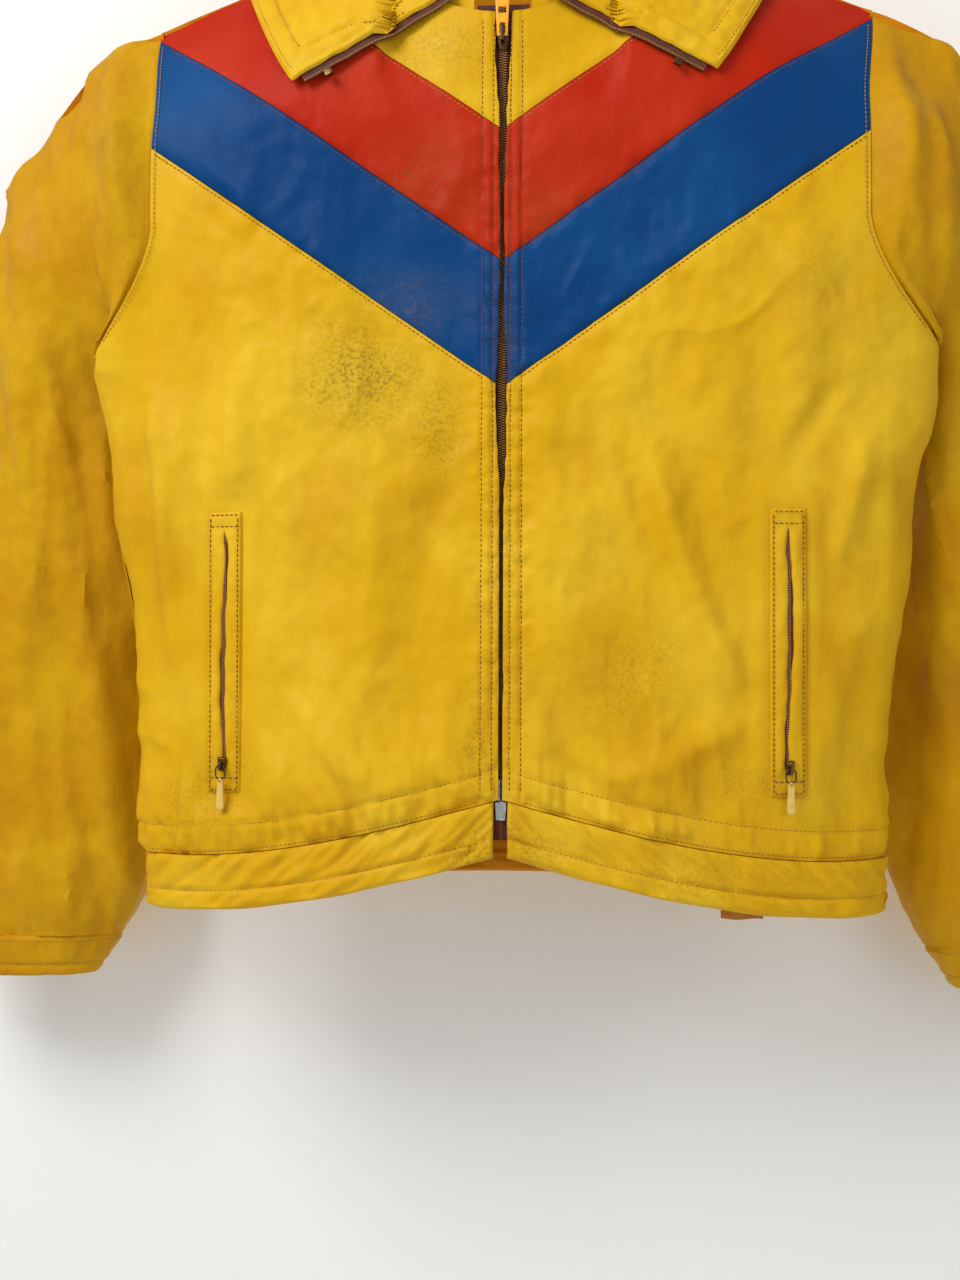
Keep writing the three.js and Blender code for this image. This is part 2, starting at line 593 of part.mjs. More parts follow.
/** Wire ring through the bridge, and the paddle that hangs from it. */
function addPocketPull(hand, frame) {
  const top = pocketSliderLow + 4.4;
  const outline = rectangle(THREE.Shape, -RING.half, top - RING.height, RING.half, top);
  const [inner, wire] = [RING.half - RING.wire, RING.wire];
  outline.holes.push(rectangle(THREE.Path, -inner, top - RING.height + wire, inner, top - wire));
  add(`pocket_ring_${hand}`, plate(outline, ringY - wire / 2, wire), bronze, frame);
  const high = top - RING.height - FIT;
  const paddle = new THREE.Shape();
  const half = PULL.width / 2;
  paddle.moveTo(-half * 0.7, high);
  paddle.lineTo(-half, high - PULL.length + half);
  paddle.absarc(0, high - PULL.length + half, half, Math.PI, 2 * Math.PI);
  paddle.lineTo(half * 0.7, high);
  add(`pocket_pull_${hand}`, plate(paddle, ringY - PULL.thick / 2, PULL.thick), enamel, frame);
}

function addPocketBag(hand, side) {
  const low = POCKET_TOP - POCKET_LENGTH - BAG.drop + 8;
  const surface = (u, v) => {
    const point = frontPoint(lerp(BAG.inner, BAG.outer, u), lerp(low, POCKET_TOP, v));
    return point.setX(point.x * side);
  };
  const layout = { cols: 6, rows: 6, out: BAG.depth, into: BAG.depth + BAG.thick };
  add(`pocket_bag_${hand}`, sheet(surface, bodyCore, layout), liningCloth);
}

// ---- Collar ----

const standHeight = (angle) => lerp(STAND_FRONT, STAND_BACK, (1 - Math.cos(angle)) / 2);

/** A point on the neck seam's loop, `angle` round from the centre front, raised by `up`. */
function neckPoint(angle, outset, up) {
  const toFront = Math.cos(angle);
  const [drop, depth] = toFront > 0
    ? [NECK_FRONT_DROP, RIDGE_Y - ZIP_TOP_Y] : [NECK_BACK_DROP, NECK_BACK_BULGE];
  return new THREE.Vector3(
    (NECK_HALF + outset) * Math.sin(angle),
    RIDGE_Y - (depth + outset) * toFront,
    -drop * Math.abs(toFront) + up,
  );
}

const foldPoint = (angle) => neckPoint(angle, LEAF_OUTSET, standHeight(angle));

function addCollarStand() {
  const surface = (u, v) => {
    const angle = lerp(degToRad(STAND_START), degToRad(360 - STAND_START), u);
    return neckPoint(angle, -STAND_INSET, lerp(2, standHeight(angle), v));
  };
  const core = (point) => new THREE.Vector3(0, -30, point.z);
  add("collar_stand", sheet(surface, core, { cols: 26, rows: 2, into: STAND }), yellow);
}

/** A point lying on the body, over (x, z), lifted clear of it along its normal. */
function overBody(pointAt, neckDrop, x, z, lift) {
  const low = Math.min(z, topEdge(x, neckDrop) - 2);
  const here = pointAt(x, low);
  const dx = pointAt(x + 1, low).sub(pointAt(x - 1, low));
  const dz = pointAt(x, low + 1).sub(pointAt(x, low - 1));
  const normal = dx.cross(dz).normalize();
  if (normal.dot(bodyCore(here).sub(here)) > 0) normal.negate();
  return here.addScaledVector(normal, lift);
}

const leafEnd = {
  x: NECK_HALF + LEAF_SHOULDER,
  z: (-SHOULDER_DROP * LEAF_SHOULDER) / (SHOULDER_HALF - NECK_HALF),
};

/** The front leaf's outer face: u runs from the zip edge to the shoulder, v from the fold out. */
function frontLeafPoint(side, u, v) {
  const fold = foldPoint(degToRad(lerp(LEAF_START, LEAF_SPLIT, u)));
  const edgeX = lerp(LEAF_CORNER.x, leafEnd.x, u);
  const edgeZ = lerp(LEAF_CORNER.z, leafEnd.z, u ** 1.2);
  const [x, z] = [lerp(fold.x, edgeX, v), lerp(fold.z, edgeZ, v)];
  const lying = overBody(frontPoint, NECK_FRONT_DROP, x, z, LEAF_LIFT + LEAF);
  const point = fold.lerp(lying, smoothstep(v, 0, 0.35));
  return point.setX(point.x * side);
}

/** The back leaf's outer face: u runs from one shoulder to the other. */
function backLeafPoint(u, v) {
  const turn = 180 - LEAF_SPLIT - 6;
  const fold = foldPoint(degToRad(lerp(180 - turn, 180 + turn, u)));
  const share = 1 - 2 * u;
  const edgeX = share * leafEnd.x;
  const edgeZ = lerp(-LEAF_BACK, leafEnd.z, share ** 2);
  const [x, z] = [lerp(fold.x, edgeX, v), lerp(fold.z, edgeZ, v)];
  const lying = overBody(backPoint, NECK_BACK_DROP, x, z, LEAF_LIFT + LEAF);
  lying.y += 3;
  return fold.lerp(lying, smoothstep(v, 0, 0.35));
}

const leafCore = (point) => new THREE.Vector3(point.x * 0.5, SIDE_Y, point.z - 120);

function addCollarLeaves() {
  const layout = { cols: 8, rows: 6, into: LEAF };
  for (const [hand, side] of Object.entries(SIDES)) {
    const surface = (u, v) => frontLeafPoint(side, u, v);
    add(`collar_leaf_${hand}`, sheet(surface, leafCore, layout), yellow);
    addCollarTape(hand, side);
  }
  add("collar_leaf_back", sheet(backLeafPoint, leafCore, { cols: 16, rows: 5, into: LEAF }), yellow);
}

/** The zip's tape along the leaf's front edge, and the stop at its end. */
function addCollarTape(hand, side) {
  const start = frontLeafPoint(side, 0, 0.14);
  const end = frontLeafPoint(side, 0, 0.93);
  const along = end.clone().sub(start).normalize();
  const outward = frontLeafPoint(side, 0, 0.5).sub(frontLeafPoint(side, 0.1, 0.5)).normalize();
  const normal = along.clone().cross(outward).normalize();
  const away = normal.clone().cross(along).normalize();
  const frame = new THREE.Group();
  const basis = new THREE.Matrix4().makeBasis(away, normal, along);
  frame.applyMatrix4(basis.setPosition(start.clone().lerp(end, 0.5)));
  jacket.add(frame);
  const clear = 2.2; // the leaf's edge bows, so the straight tape stands off it
  const half = COLLAR_TAPE.length / 2;
  const drop = Math.sign(normal.dot(leafCore(start).sub(start))) * LEAF * 0.5;
  const low = drop - COLLAR_TAPE.thick / 2;
  const tape = box([clear, low, -half], [clear + COLLAR_TAPE.width, low + COLLAR_TAPE.thick, half]);
  add(`collar_tape_${hand}`, tape, zipTape, frame);
  const edge = clear + COLLAR_TAPE.width;
  const [stopLow, stopHigh] = [drop - TOP_STOP.thick / 2, drop + TOP_STOP.thick / 2];
  const stopEnd = half - 2;
  const stopStart = [edge - TOP_STOP.width, stopLow, stopEnd - TOP_STOP.length];
  const stop = box(stopStart, [edge + 1, stopHigh, stopEnd]);
  const grip = box([0, low - FIT, -half], [edge + FIT, low + COLLAR_TAPE.thick + FIT, half + 1]);
  add(`top_stop_${hand}`, geometryOf(solid(stop).subtract(solid(grip))), bronze, frame);
}

// ---- Sleeves ----

/** A point on the armhole, `turn` round from the shoulder tip by way of the front. */
function armholePoint(turn) {
  const low = -ARMPIT_DEPTH + 1;
  const z = lerp(-SHOULDER_DROP, low, (1 - Math.cos(turn)) / 2);
  const x = outerEdge(z);
  const front = frontPoint(x, Math.min(z, frontTop(x) - 1));
  const back = backPoint(x, Math.min(z, frontTop(x) - 1));
  const depth = Math.sin(turn);
  const middle = (front.y + back.y) / 2;
  const half = (back.y - front.y) / 2;
  const share = Math.sign(depth) * Math.min(1, Math.abs(depth) * 3);
  return new THREE.Vector3(x, middle - share * half, z);
}

/** A point of a station's oval, `turn` round from its outer end by way of the front. */
function stationPoint({ z, inner, outer, half }, turn) {
  const x = (inner + outer) / 2 + ((outer - inner) / 2) * Math.cos(turn);
  return new THREE.Vector3(x, SLEEVE_Y - half * Math.sin(turn), z);
}

/** The sleeve cap: a curve from the armhole to the biceps station. */
function capPoint(turn, v) {
  const start = armholePoint(turn);
  start.x += ARMHOLE_CLEAR;
  const end = stationPoint(BICEPS, turn);
  const span = start.distanceTo(end);
  const outer = (1 + Math.cos(turn)) / 2;
  const leave = new THREE.Vector3(1, 0, -0.35).multiplyScalar(span * CAP_PUSH * (0.35 + 0.65 * outer));
  const curve = new THREE.CubicBezierCurve3(
    start, start.clone().add(leave), end.clone().setZ(end.z + span * CAP_DROP), end,
  );
  return curve.getPoint(v);
}

const CAP_SHARE = 0.7;

function upperSleevePoint(side, u, v) {
  const turn = 2 * Math.PI * u;
  const point = v < CAP_SHARE
    ? capPoint(turn, v / CAP_SHARE)
    : stationPoint(BICEPS, turn).lerp(stationPoint(ELBOW, turn), (v - CAP_SHARE) / (1 - CAP_SHARE));
  return point.setX(point.x * side);
}

/** A smooth run through sleeve stations: v is 0 at the first and 1 at the last. */
function stationRun(stations, side, u, v) {
  const turn = 2 * Math.PI * u;
  const z = lerp(stations[0].z, stations.at(-1).z, v);
  const next = Math.max(1, stations.findIndex((each) => each.z <= z + 1e-9));
  const [a, b] = [stations[next - 1], stations[next]];
  const point = stationPoint(a, turn).lerp(stationPoint(b, turn), (a.z - z) / (a.z - b.z));
  return point.setX(point.x * side);
}

const sleeveCore = (side) => (point) => {
  const z = point.z > BICEPS.z ? (point.z + BICEPS.z) / 2 : point.z;
  return new THREE.Vector3(side * ((BICEPS.inner + BICEPS.outer) / 2), SLEEVE_Y, z);
};

function addSleeve(hand, side) {
  const below = { ...ELBOW, z: ELBOW.z - ELBOW_GAP };
  const forearm = [below, FOREARM, { ...CUFF_TOP, z: CUFF_TOP.z + SEAM }];
  const upper = (u, v) => upperSleevePoint(side, u, v);
  const lower = (u, v) => stationRun(forearm, side, u, v);
  const cuff = (u, v) => stationRun([CUFF_TOP, CUFF_END], side, u, v);
  const core = sleeveCore(side);
  const cuffMiddle = (side * (CUFF_END.inner + CUFF_END.outer)) / 2;
  const cuffCore = (point) => new THREE.Vector3(cuffMiddle, SLEEVE_Y, point.z);
  const tube = { cols: 20, wrap: true };
  add(`upper_sleeve_${hand}`, sheet(upper, core, { ...tube, rows: 8, into: SLEEVE }), yellow);
  add(`lower_sleeve_${hand}`, sheet(lower, core, { ...tube, rows: 4, into: SLEEVE }), yellow);
  add(`cuff_${hand}`, sheet(cuff, cuffCore, { ...tube, rows: 1, out: -CUFF.out, into: CUFF.in }), yellow);
  const lined = { ...tube, out: SLEEVE_LINING.depth, into: SLEEVE_LINING.depth + SLEEVE_LINING.thick };
  const upperInside = (u, v) => upperSleevePoint(side, u, lerp(SLEEVE_LINING.start, 1, v));
  add(`upper_sleeve_lining_${hand}`, sheet(upperInside, core, { ...lined, rows: 5 }), liningCloth);
  add(`lower_sleeve_lining_${hand}`, sheet(lower, core, { ...lined, rows: 4 }), liningCloth);
}

// ---- Hem tab ----

function addHemTab() {
  const { x, width, length, thick, below, inside } = HEM_TAB;
  const low = backHem(x) - below;
  const y = backPoint(x, backHem(x)).y - inside;
  add("hem_tab", box([x - width / 2, y - thick, low], [x + width / 2, y, low + length]), yellow);
}

addBodyPanels();
addLinings();
addNeckLabel();
addHangLoop();
const zip = zipFrame(jacket);
addZipChain(zip);
addZipBox(zip);
addMainSlider(zip);
addMainPull(zip);
for (const [hand, side] of Object.entries(SIDES)) {
  addPocket(hand, side);
  addPocketBag(hand, side);
  addSleeve(hand, side);
}
addCollarStand();
addCollarLeaves();
addHemTab();

export default jacket;
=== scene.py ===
"""Looks of a chevron ski jacket hanging from its neck loop: cloth, padding, zips, thread and light.

Lengths are millimetres until a mesh is made. +X is the wearer's left, -Y the front and +Z up.
"""

from __future__ import annotations

import logging
import math
from dataclasses import dataclass, field
from enum import Enum
from typing import Any, Callable, Sequence

import bpy
import numpy as np
from mathutils import Matrix, Vector

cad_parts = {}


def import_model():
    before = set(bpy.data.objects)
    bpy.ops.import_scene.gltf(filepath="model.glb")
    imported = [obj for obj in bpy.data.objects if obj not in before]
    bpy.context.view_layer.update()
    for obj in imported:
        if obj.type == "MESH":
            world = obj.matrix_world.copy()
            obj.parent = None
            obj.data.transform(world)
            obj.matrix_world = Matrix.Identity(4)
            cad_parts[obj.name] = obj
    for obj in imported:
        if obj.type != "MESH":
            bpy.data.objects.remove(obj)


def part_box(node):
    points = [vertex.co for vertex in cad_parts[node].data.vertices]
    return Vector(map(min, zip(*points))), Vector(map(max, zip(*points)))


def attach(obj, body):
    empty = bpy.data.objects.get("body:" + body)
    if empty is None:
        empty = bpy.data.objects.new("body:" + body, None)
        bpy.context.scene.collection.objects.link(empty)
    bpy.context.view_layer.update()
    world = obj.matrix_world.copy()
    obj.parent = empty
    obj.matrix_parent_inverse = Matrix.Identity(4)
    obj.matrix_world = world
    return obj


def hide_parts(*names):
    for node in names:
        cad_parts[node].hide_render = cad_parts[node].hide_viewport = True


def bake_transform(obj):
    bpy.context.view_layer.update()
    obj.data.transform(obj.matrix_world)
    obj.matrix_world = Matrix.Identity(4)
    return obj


MM = 0.001
Array = np.ndarray
Surface = Callable[[Array, Array], Array]

log = logging.getLogger("jacket")


class Side(Enum):
    """The two halves of the jacket, by the wearer's hand."""

    LEFT = 1
    RIGHT = -1

    @property
    def hand(self) -> str:
        """The side as the frame's node names spell it."""
        return self.name.lower()


class Colour(Enum):
    """Dyes and metals of the jacket, as sRGB; the three sleeve colours are the yellow nylon darkened as
    painted shade.
    """

    YELLOW = 0xD2A10A
    FADED_YELLOW = 0xDAB020
    DEEP_YELLOW = 0xBE8302
    # Painted shade: the same yellow nylon, darker and more orange, for the sleeves, back and back collar that
    # hang in shade.
    SLEEVE = 0xBE8803
    SLEEVE_LIGHT = 0xC8980A
    SLEEVE_DEEP = 0x935B00
    RED = 0xAC1E02
    FADED_RED = 0xB42C0C
    BLUE = 0x00396F
    FADED_BLUE = 0x06457C
    LINING = 0xC97C04
    GRIME = 0x6A5618
    TAPE = 0x55200C
    COIL = 0xA87836
    THREAD = 0xB07A10
    DARK_THREAD = 0x7A3A0C
    BRASS = 0x6B5230
    ALUMINIUM = 0xC6CBCC
    AMBER = 0xF5A80C
    ENAMEL = 0xD9B65A
    LABEL = 0xE8E2D2
    WALL = 0xECECEA
    FLOOR = 0xE2E2E0


# ---- Arithmetic on arrays ----


def lerp(a: Any, b: Any, share: Any) -> Any:
    """The value a share of the way from a to b."""
    return a + (b - a) * share


def smoothstep(value: Array, low: float, high: float) -> Array:
    """A smooth rise from 0 at low to 1 at high."""
    t = np.clip((value - low) / (high - low), 0.0, 1.0)
    return t * t * (3 - 2 * t)


def dip(distance: Array, width: float) -> Array:
    """A bell of height 1 at distance 0, about `width` to each side."""
    return np.exp(-((distance / width) ** 2))


def unit(vectors: Array) -> Array:
    """The vectors at length 1."""
    return vectors / np.maximum(np.linalg.norm(vectors, axis=-1, keepdims=True), 1e-12)


def noise(points: Array, scale: Sequence[float], seed: int) -> Array:
    """Smooth gradient noise in space.

    Args:
        points: Places, with x, y and z last.
        scale: Size of a feature along x, y and z, in millimetres.
        seed: Picks one pattern among many.

    Returns:
        One value per place, from about -1 to 1.
    """
    at = points / np.asarray(scale, float) + seed * 17.31
    cell = np.floor(at).astype(np.int64)
    part = at - cell
    fade = part**3 * (part * (part * 6 - 15) + 10)
    total = np.zeros(at.shape[:-1])
    for corner in range(8):
        step = np.array([corner & 1, corner >> 1 & 1, corner >> 2 & 1])
        i, j, k = np.moveaxis(cell + step, -1, 0)
        mixed = (i * 73856093 ^ j * 19349663 ^ k * 83492791 ^ seed * 2654435) & 0xFFFFFFF
        turn = (mixed * 1103515245 + 12345 & 0x7FFFFFFF) / 0x7FFFFFFF * 2 * math.pi
        lift = ((mixed * 69069 + 1 & 0x7FFFFFFF) / 0x7FFFFFFF) * 2 - 1
        flat = np.sqrt(1 - lift**2)
        away = part - step
        slope = away[..., 0] * flat * np.cos(turn) + away[..., 1] * flat * np.sin(turn) + away[..., 2] * lift
        share = np.where(step == 1, fade, 1 - fade).prod(axis=-1)
        total += share * slope
    return total * 1.7


def kept_above(relief: Array, depth: float) -> Array:
    """Eases a relief so that it never sinks below a depth."""
    return np.where(relief < 0, depth * np.tanh(relief / depth), relief)


def ridges(points: Array, scale: Sequence[float], seed: int) -> Array:
    """Thin raised creases where a noise crosses zero, from 0 to 1."""
    return np.clip(1 - np.abs(noise(points, scale, seed)) * 3, 0, 1) ** 2


# ---- Meshes ----


def make_piece(
    name: str, points: Array, faces: Sequence[Sequence[int]], angle: float = 50.0
) -> bpy.types.Object:
    """Makes a mesh object with its place in its mesh, smooth up to an edge angle.

    Args:
        name: The piece's name.
        points: Its vertices in millimetres.
        faces: Vertex indices of each face.
        angle: Edges sharper than this many degrees stay sharp.

    Returns:
        The new object, with its faces turned outwards.
    """
    mesh = bpy.data.meshes.new(name)
    mesh.from_pydata((np.asarray(points).reshape(-1, 3) * MM).tolist(), [], [list(f) for f in faces])
    made = bpy.data.objects.new(name, mesh)
    bpy.context.scene.collection.objects.link(made)
    choose(made)
    bpy.ops.object.mode_set(mode="EDIT")
    bpy.ops.mesh.select_all(action="SELECT")
    bpy.ops.mesh.remove_doubles(threshold=2e-6)
    bpy.ops.mesh.normals_make_consistent(inside=False)
    bpy.ops.object.mode_set(mode="OBJECT")
    bpy.ops.object.shade_smooth_by_angle(angle=math.radians(angle))
    return made


def choose(*pieces: bpy.types.Object) -> None:
    """Selects these pieces only, the first one active."""
    bpy.ops.object.select_all(action="DESELECT")
    for each in pieces:
        each.select_set(True)
    bpy.context.view_layer.objects.active = pieces[0]


def quads(rows: int, cols: int, wrap: bool, start: int = 0, flip: bool = False) -> Array:
    """Quads of a grid of points stored row by row.

    Args:
        rows: Number of rows of points.
        cols: Number of points in a row.
        wrap: Whether the last column joins the first.
        start: Index of the grid's first point.
        flip: Turns the faces over.

    Returns:
        Vertex indices, four to a face.
    """
    r, c = np.meshgrid(np.arange(rows - 1), np.arange(cols if wrap else cols - 1), indexing="ij")
    n = (c + 1) % cols
    found = np.stack([r * cols + c, r * cols + n, (r + 1) * cols + n, (r + 1) * cols + c], -1)
    found = found.reshape(-1, 4) + start
    return found[:, ::-1] if flip else found


def grid_normals(points: Array, wrap: bool, sign: float) -> Array:
    """Unit normals of a grid of points, turned over where sign is -1.

    Args:
        points: A grid of points.
        wrap: Whether the last column joins the first.
        sign: 1, or -1 to turn the normals over.

    Returns:
        One unit normal for each point.
    """
    if wrap:
        along = np.roll(points, -1, axis=1) - np.roll(points, 1, axis=1)
    else:
        along = np.gradient(points, axis=1)
    return unit(np.cross(along, np.gradient(points, axis=0))) * sign


def shell(
    name: str, outer: Array, inner: Array, finishes: Sequence[bpy.types.Material], wrap: bool = False
) -> bpy.types.Object:
    """A closed piece between two grids of points.

    Args:
        name: The piece's name.
        outer: Points of the outer face, rows by columns.
        inner: Points of the inner face, laid out alike.
        finishes: Material of the outer face, then that of the inner face.
        wrap: Whether the columns go all the way round.

    Returns:
        The new piece.
    """
    rows, cols = outer.shape[:2]
    count = rows * cols
    faces = [quads(rows, cols, wrap), quads(rows, cols, wrap, count, flip=True)]
    ring = np.arange(cols if wrap else cols - 1)
    after = (ring + 1) % cols
    for row, flip in ((0, False), (rows - 1, True)):
        rim = np.stack([row * cols + after, row * cols + ring], -1)
        rim = np.concatenate([rim, rim[:, ::-1] + count], -1)
        faces.append(rim[:, ::-1] if flip else rim)
    if not wrap:
        step = np.arange(rows - 1)
        for col, flip in ((0, False), (cols - 1, True)):
            rim = np.stack([step * cols + col, (step + 1) * cols + col], -1)
            rim = np.concatenate([rim, rim[:, ::-1] + count], -1)
            faces.append(rim[:, ::-1] if flip else rim)
    points = np.concatenate([outer.reshape(-1, 3), inner.reshape(-1, 3)])
    made = make_piece(name, points, np.concatenate(faces))
    for each in finishes:
        made.data.materials.append(each)
    if len(finishes) > 1:
        outside = (rows - 1) * (cols if wrap else cols - 1)
        slots = np.zeros(len(made.data.polygons), np.int32)
        slots[outside : 2 * outside] = 1
        made.data.polygons.foreach_set("material_index", slots)
    return made


def edge_distance(points: Array, low_row: bool, high_row: bool, low_col: bool, high_col: bool) -> Array:
    """How far each point of a grid lies from the edges that are chosen, along the cloth."""
    far = np.full(points.shape[:2], 1e6)
    for axis, low, high in ((0, low_row, high_row), (1, low_col, high_col)):
        steps = np.linalg.norm(np.diff(points, axis=axis), axis=-1)
        run = np.cumsum(steps, axis=axis)
        start = np.zeros_like(np.take(run, [0], axis=axis))
        run = np.concatenate([start, run], axis=axis)
        whole = np.take(run, [-1], axis=axis)
        if low:
            far = np.minimum(far, run)
        if high:
            far = np.minimum(far, whole - run)
    return far


def rounded(distance: Array, radius: float) -> Array:
    """The profile of a round edge: 0 at the edge and 1 from the radius inwards."""
    return np.sqrt(np.clip(1 - (1 - np.clip(distance / radius, 0, 1)) ** 2, 0, 1))


# ---- Finishes ----


def linear(colour: Colour) -> tuple[float, float, float, float]:
    """An sRGB colour as the linear numbers that a shader reads.

    Args:
        colour: The sRGB colour.

    Returns:
        Its linear red, green and blue, and its alpha.
    """
    parts = [(colour.value >> shift & 255) / 255 for shift in (16, 8, 0)]
    r, g, b = (p / 12.92 if p <= 0.04045 else ((p + 0.055) / 1.055) ** 2.4 for p in parts)
    return r, g, b, 1.0


def add_node(
    tree: bpy.types.NodeTree, kind: str, inputs: dict[Any, Any] | None = None, **settings: Any
) -> bpy.types.Node:
    """Adds a node with its settings and inputs.

    Args:
        tree: The node tree.
        kind: The node's type.
        inputs: A value or an output socket for each input, by name or index.
        settings: Properties of the node itself.

    Returns:
        The new node.
    """
    made = tree.nodes.new(kind)
    for key, value in settings.items():
        setattr(made, key, value)
    for key, value in (inputs or {}).items():
        if isinstance(value, bpy.types.NodeSocket):
            tree.links.new(value, made.inputs[key])
        else:
            made.inputs[key].default_value = value
    return made


def new_material(name: str) -> tuple[bpy.types.Material, bpy.types.NodeTree, bpy.types.NodeSocket]:
    """A bare material.

    Args:
        name: The finish, in a maker's words.

    Returns:
        The material, its tree and the piece's own coordinates in metres.
    """
    made = bpy.data.materials.new(name)
    made.use_nodes = True
    made.node_tree.nodes.clear()
    place = add_node(made.node_tree, "ShaderNodeTexCoord").outputs["Object"]
    return made, made.node_tree, place


def close_material(tree: bpy.types.NodeTree, shader: bpy.types.Node) -> None:
    """Joins a shader to the material's output."""
    add_node(tree, "ShaderNodeOutputMaterial", {"Surface": shader.outputs[0]})


def blended(tree: bpy.types.NodeTree, share: Any, a: Any, b: Any, mode: str = "MIX") -> bpy.types.NodeSocket:
    """Mixes colour b over colour a by a share."""
    made = add_node(tree, "ShaderNodeMix", {0: share, 6: a, 7: b}, data_type="RGBA", blend_type=mode)
    return made.outputs[2]


def eased(
    tree: bpy.types.NodeTree, value: Any, low: float, high: float, top: float = 1.0
) -> bpy.types.NodeSocket:
    """A smooth map of a value from low..high to 0..top."""
    inputs = {0: value, 1: low, 2: high, 3: 0.0, 4: top}
    return add_node(tree, "ShaderNodeMapRange", inputs, interpolation_type="SMOOTHSTEP").outputs[0]


def reckoned(tree: bpy.types.NodeTree, sign: str, a: Any, b: Any = 0.0) -> bpy.types.NodeSocket:
    """The sum, product or other combination of two numbers."""
    return add_node(tree, "ShaderNodeMath", {0: a, 1: b}, operation=sign).outputs[0]


def grain(
    tree: bpy.types.NodeTree, place: Any, size: float, detail: float = 2.0,
    stretch: Sequence[float] = (1, 1, 1)
) -> bpy.types.NodeSocket:
    """Noise from 0 to 1 with features of a size in millimetres, stretched along x, y and z."""
    scale = [1000 / (size * each) for each in stretch]
    at = add_node(tree, "ShaderNodeMapping", {"Vector": place, "Scale": scale}).outputs[0]
    return add_node(tree, "ShaderNodeTexNoise", {"Vector": at, "Scale": 1.0, "Detail": detail}).outputs[0]


@dataclass(frozen=True)
class Soil:
    """A worn-in dirty patch: its middle over the front, its size and how dark it is."""

    x: float
    z: float
    width: float
    height: float
    depth: float


@dataclass(frozen=True)
class NylonTaffeta:
    """Woven nylon taffeta over thin wadding: satiny, softly crinkled, sun-faded and a little soiled.

    The yarns are about 0.12 mm apart, too fine to show, so the weave is drawn at 0.9 mm.
    """

    name: str
    colour: Colour
    faded: Colour
    deep: Colour
    roughness: float = 0.5
    yarn: float = 0.9
    crinkle: float = 0.55
    soils: tuple[Soil, ...] = ()

    def soil_share(self, tree: bpy.types.NodeTree, place: Any) -> bpy.types.NodeSocket:
        """How soiled each place is, from 0 to 1."""
        total: Any = 0.0
        grit = grain(tree, place, 2.2, 6.0)
        cloud = grain(tree, place, 26, 5.0)
        for soil in self.soils:
            scale = (1000 / soil.width, 0.0, 1000 / soil.height)
            shift = (-soil.x / soil.width, 0.0, -soil.z / soil.height)
            at = add_node(
                tree, "ShaderNodeMapping", {"Vector": place, "Location": shift, "Scale": scale}
            ).outputs[0]
            far = add_node(tree, "ShaderNodeVectorMath", {0: at}, operation="LENGTH").outputs[1]
            wander = reckoned(tree, "ADD", far, reckoned(tree, "MULTIPLY", cloud, 0.9))
            near = eased(tree, wander, 1.45, 0.35, soil.depth)
            total = reckoned(tree, "MAXIMUM", near, total)
        speck = eased(tree, grit, 0.42, 0.66)
        return reckoned(
            tree, "MULTIPLY", total, reckoned(tree, "ADD", reckoned(tree, "MULTIPLY", speck, 0.75), 0.25)
        )

    def material(self) -> bpy.types.Material:
        """The finish as a material.

        Returns:
            The material.
        """
        made, tree, place = new_material(self.name)
        fade = eased(tree, grain(tree, place, 95, 3.0), 0.38, 0.66)
        stain = eased(tree, grain(tree, place, 60, 4.0, (1.2, 1.2, 1.9)), 0.5, 0.72)
        paint = blended(tree, fade, linear(self.colour), linear(self.faded))
        paint = blended(tree, reckoned(tree, "MULTIPLY", stain, 0.42), paint, linear(self.deep))
        mottle = eased(tree, grain(tree, place, 9, 5.0), 0.35, 0.7, 0.14)
        paint = blended(tree, mottle, paint, linear(self.deep))
        if self.soils:
            share = self.soil_share(tree, place)
            paint = blended(tree, reckoned(tree, "MULTIPLY", share, 0.85), paint, linear(Colour.GRIME))
        warp = grain(tree, place, self.yarn, 1.0, (0.45, 0.45, 6))
        weft = grain(tree, place, self.yarn, 1.0, (6, 6, 0.45))
        weave = reckoned(tree, "ADD", warp, weft)
        creases = grain(tree, place, 11, 4.0, (1, 1, 1.6))
        soft = grain(tree, place, 30, 3.0)
        fine = add_node(tree, "ShaderNodeBump", {"Height": weave, "Distance": 0.00006, "Strength": 0.5})
        folded = add_node(
            tree,
            "ShaderNodeBump",
            {
                "Height": creases, "Distance": self.crinkle * 0.0028, "Strength": 0.6,
                "Normal": fine.outputs[0]
            },
        )
        padded = add_node(
            tree, "ShaderNodeBump", {
                "Height": soft, "Distance": 0.004, "Strength": 0.35, "Normal": folded.outputs[0]
            }
        )
        shine = reckoned(tree, "ADD", reckoned(tree, "MULTIPLY", creases, 0.16), self.roughness - 0.08)
        shader = add_node(
            tree,
            "ShaderNodeBsdfPrincipled",
            {
                "Base Color": paint,
                "Roughness": shine,
                "Normal": padded.outputs[0],
                "Specular IOR Level": 0.09,
                "Sheen Weight": 0.02,
            },
        )
        close_material(tree, shader)
        return made


@dataclass(frozen=True)
class WovenTape:
    """Woven polyester tape or ribbon: matt, with a ribbed face whose ribs are 0.8 mm apart."""

    name: str
    colour: Colour
    roughness: float = 0.8
    rib: float = 0.8

    def material(self) -> bpy.types.Material:
        """The finish as a material.

        Returns:
            The material.
        """
        made, tree, place = new_material(self.name)
        dark = blended(tree, 0.45, linear(self.colour), (0.0, 0.0, 0.0, 1.0))
        paint = blended(
            tree, eased(tree, grain(tree, place, 5, 4.0), 0.35, 0.7, 0.6), linear(self.colour), dark
        )
        ribs = grain(tree, place, self.rib, 1.0, (5, 5, 0.7))
        relief = add_node(tree, "ShaderNodeBump", {"Height": ribs, "Distance": 0.0002, "Strength": 0.6})
        shader = add_node(
            tree,
            "ShaderNodeBsdfPrincipled",
            {
                "Base Color": paint, "Roughness": self.roughness, "Normal": relief.outputs[0],
                "Sheen Weight": 0.1
            },
        )
        close_material(tree, shader)
        return made


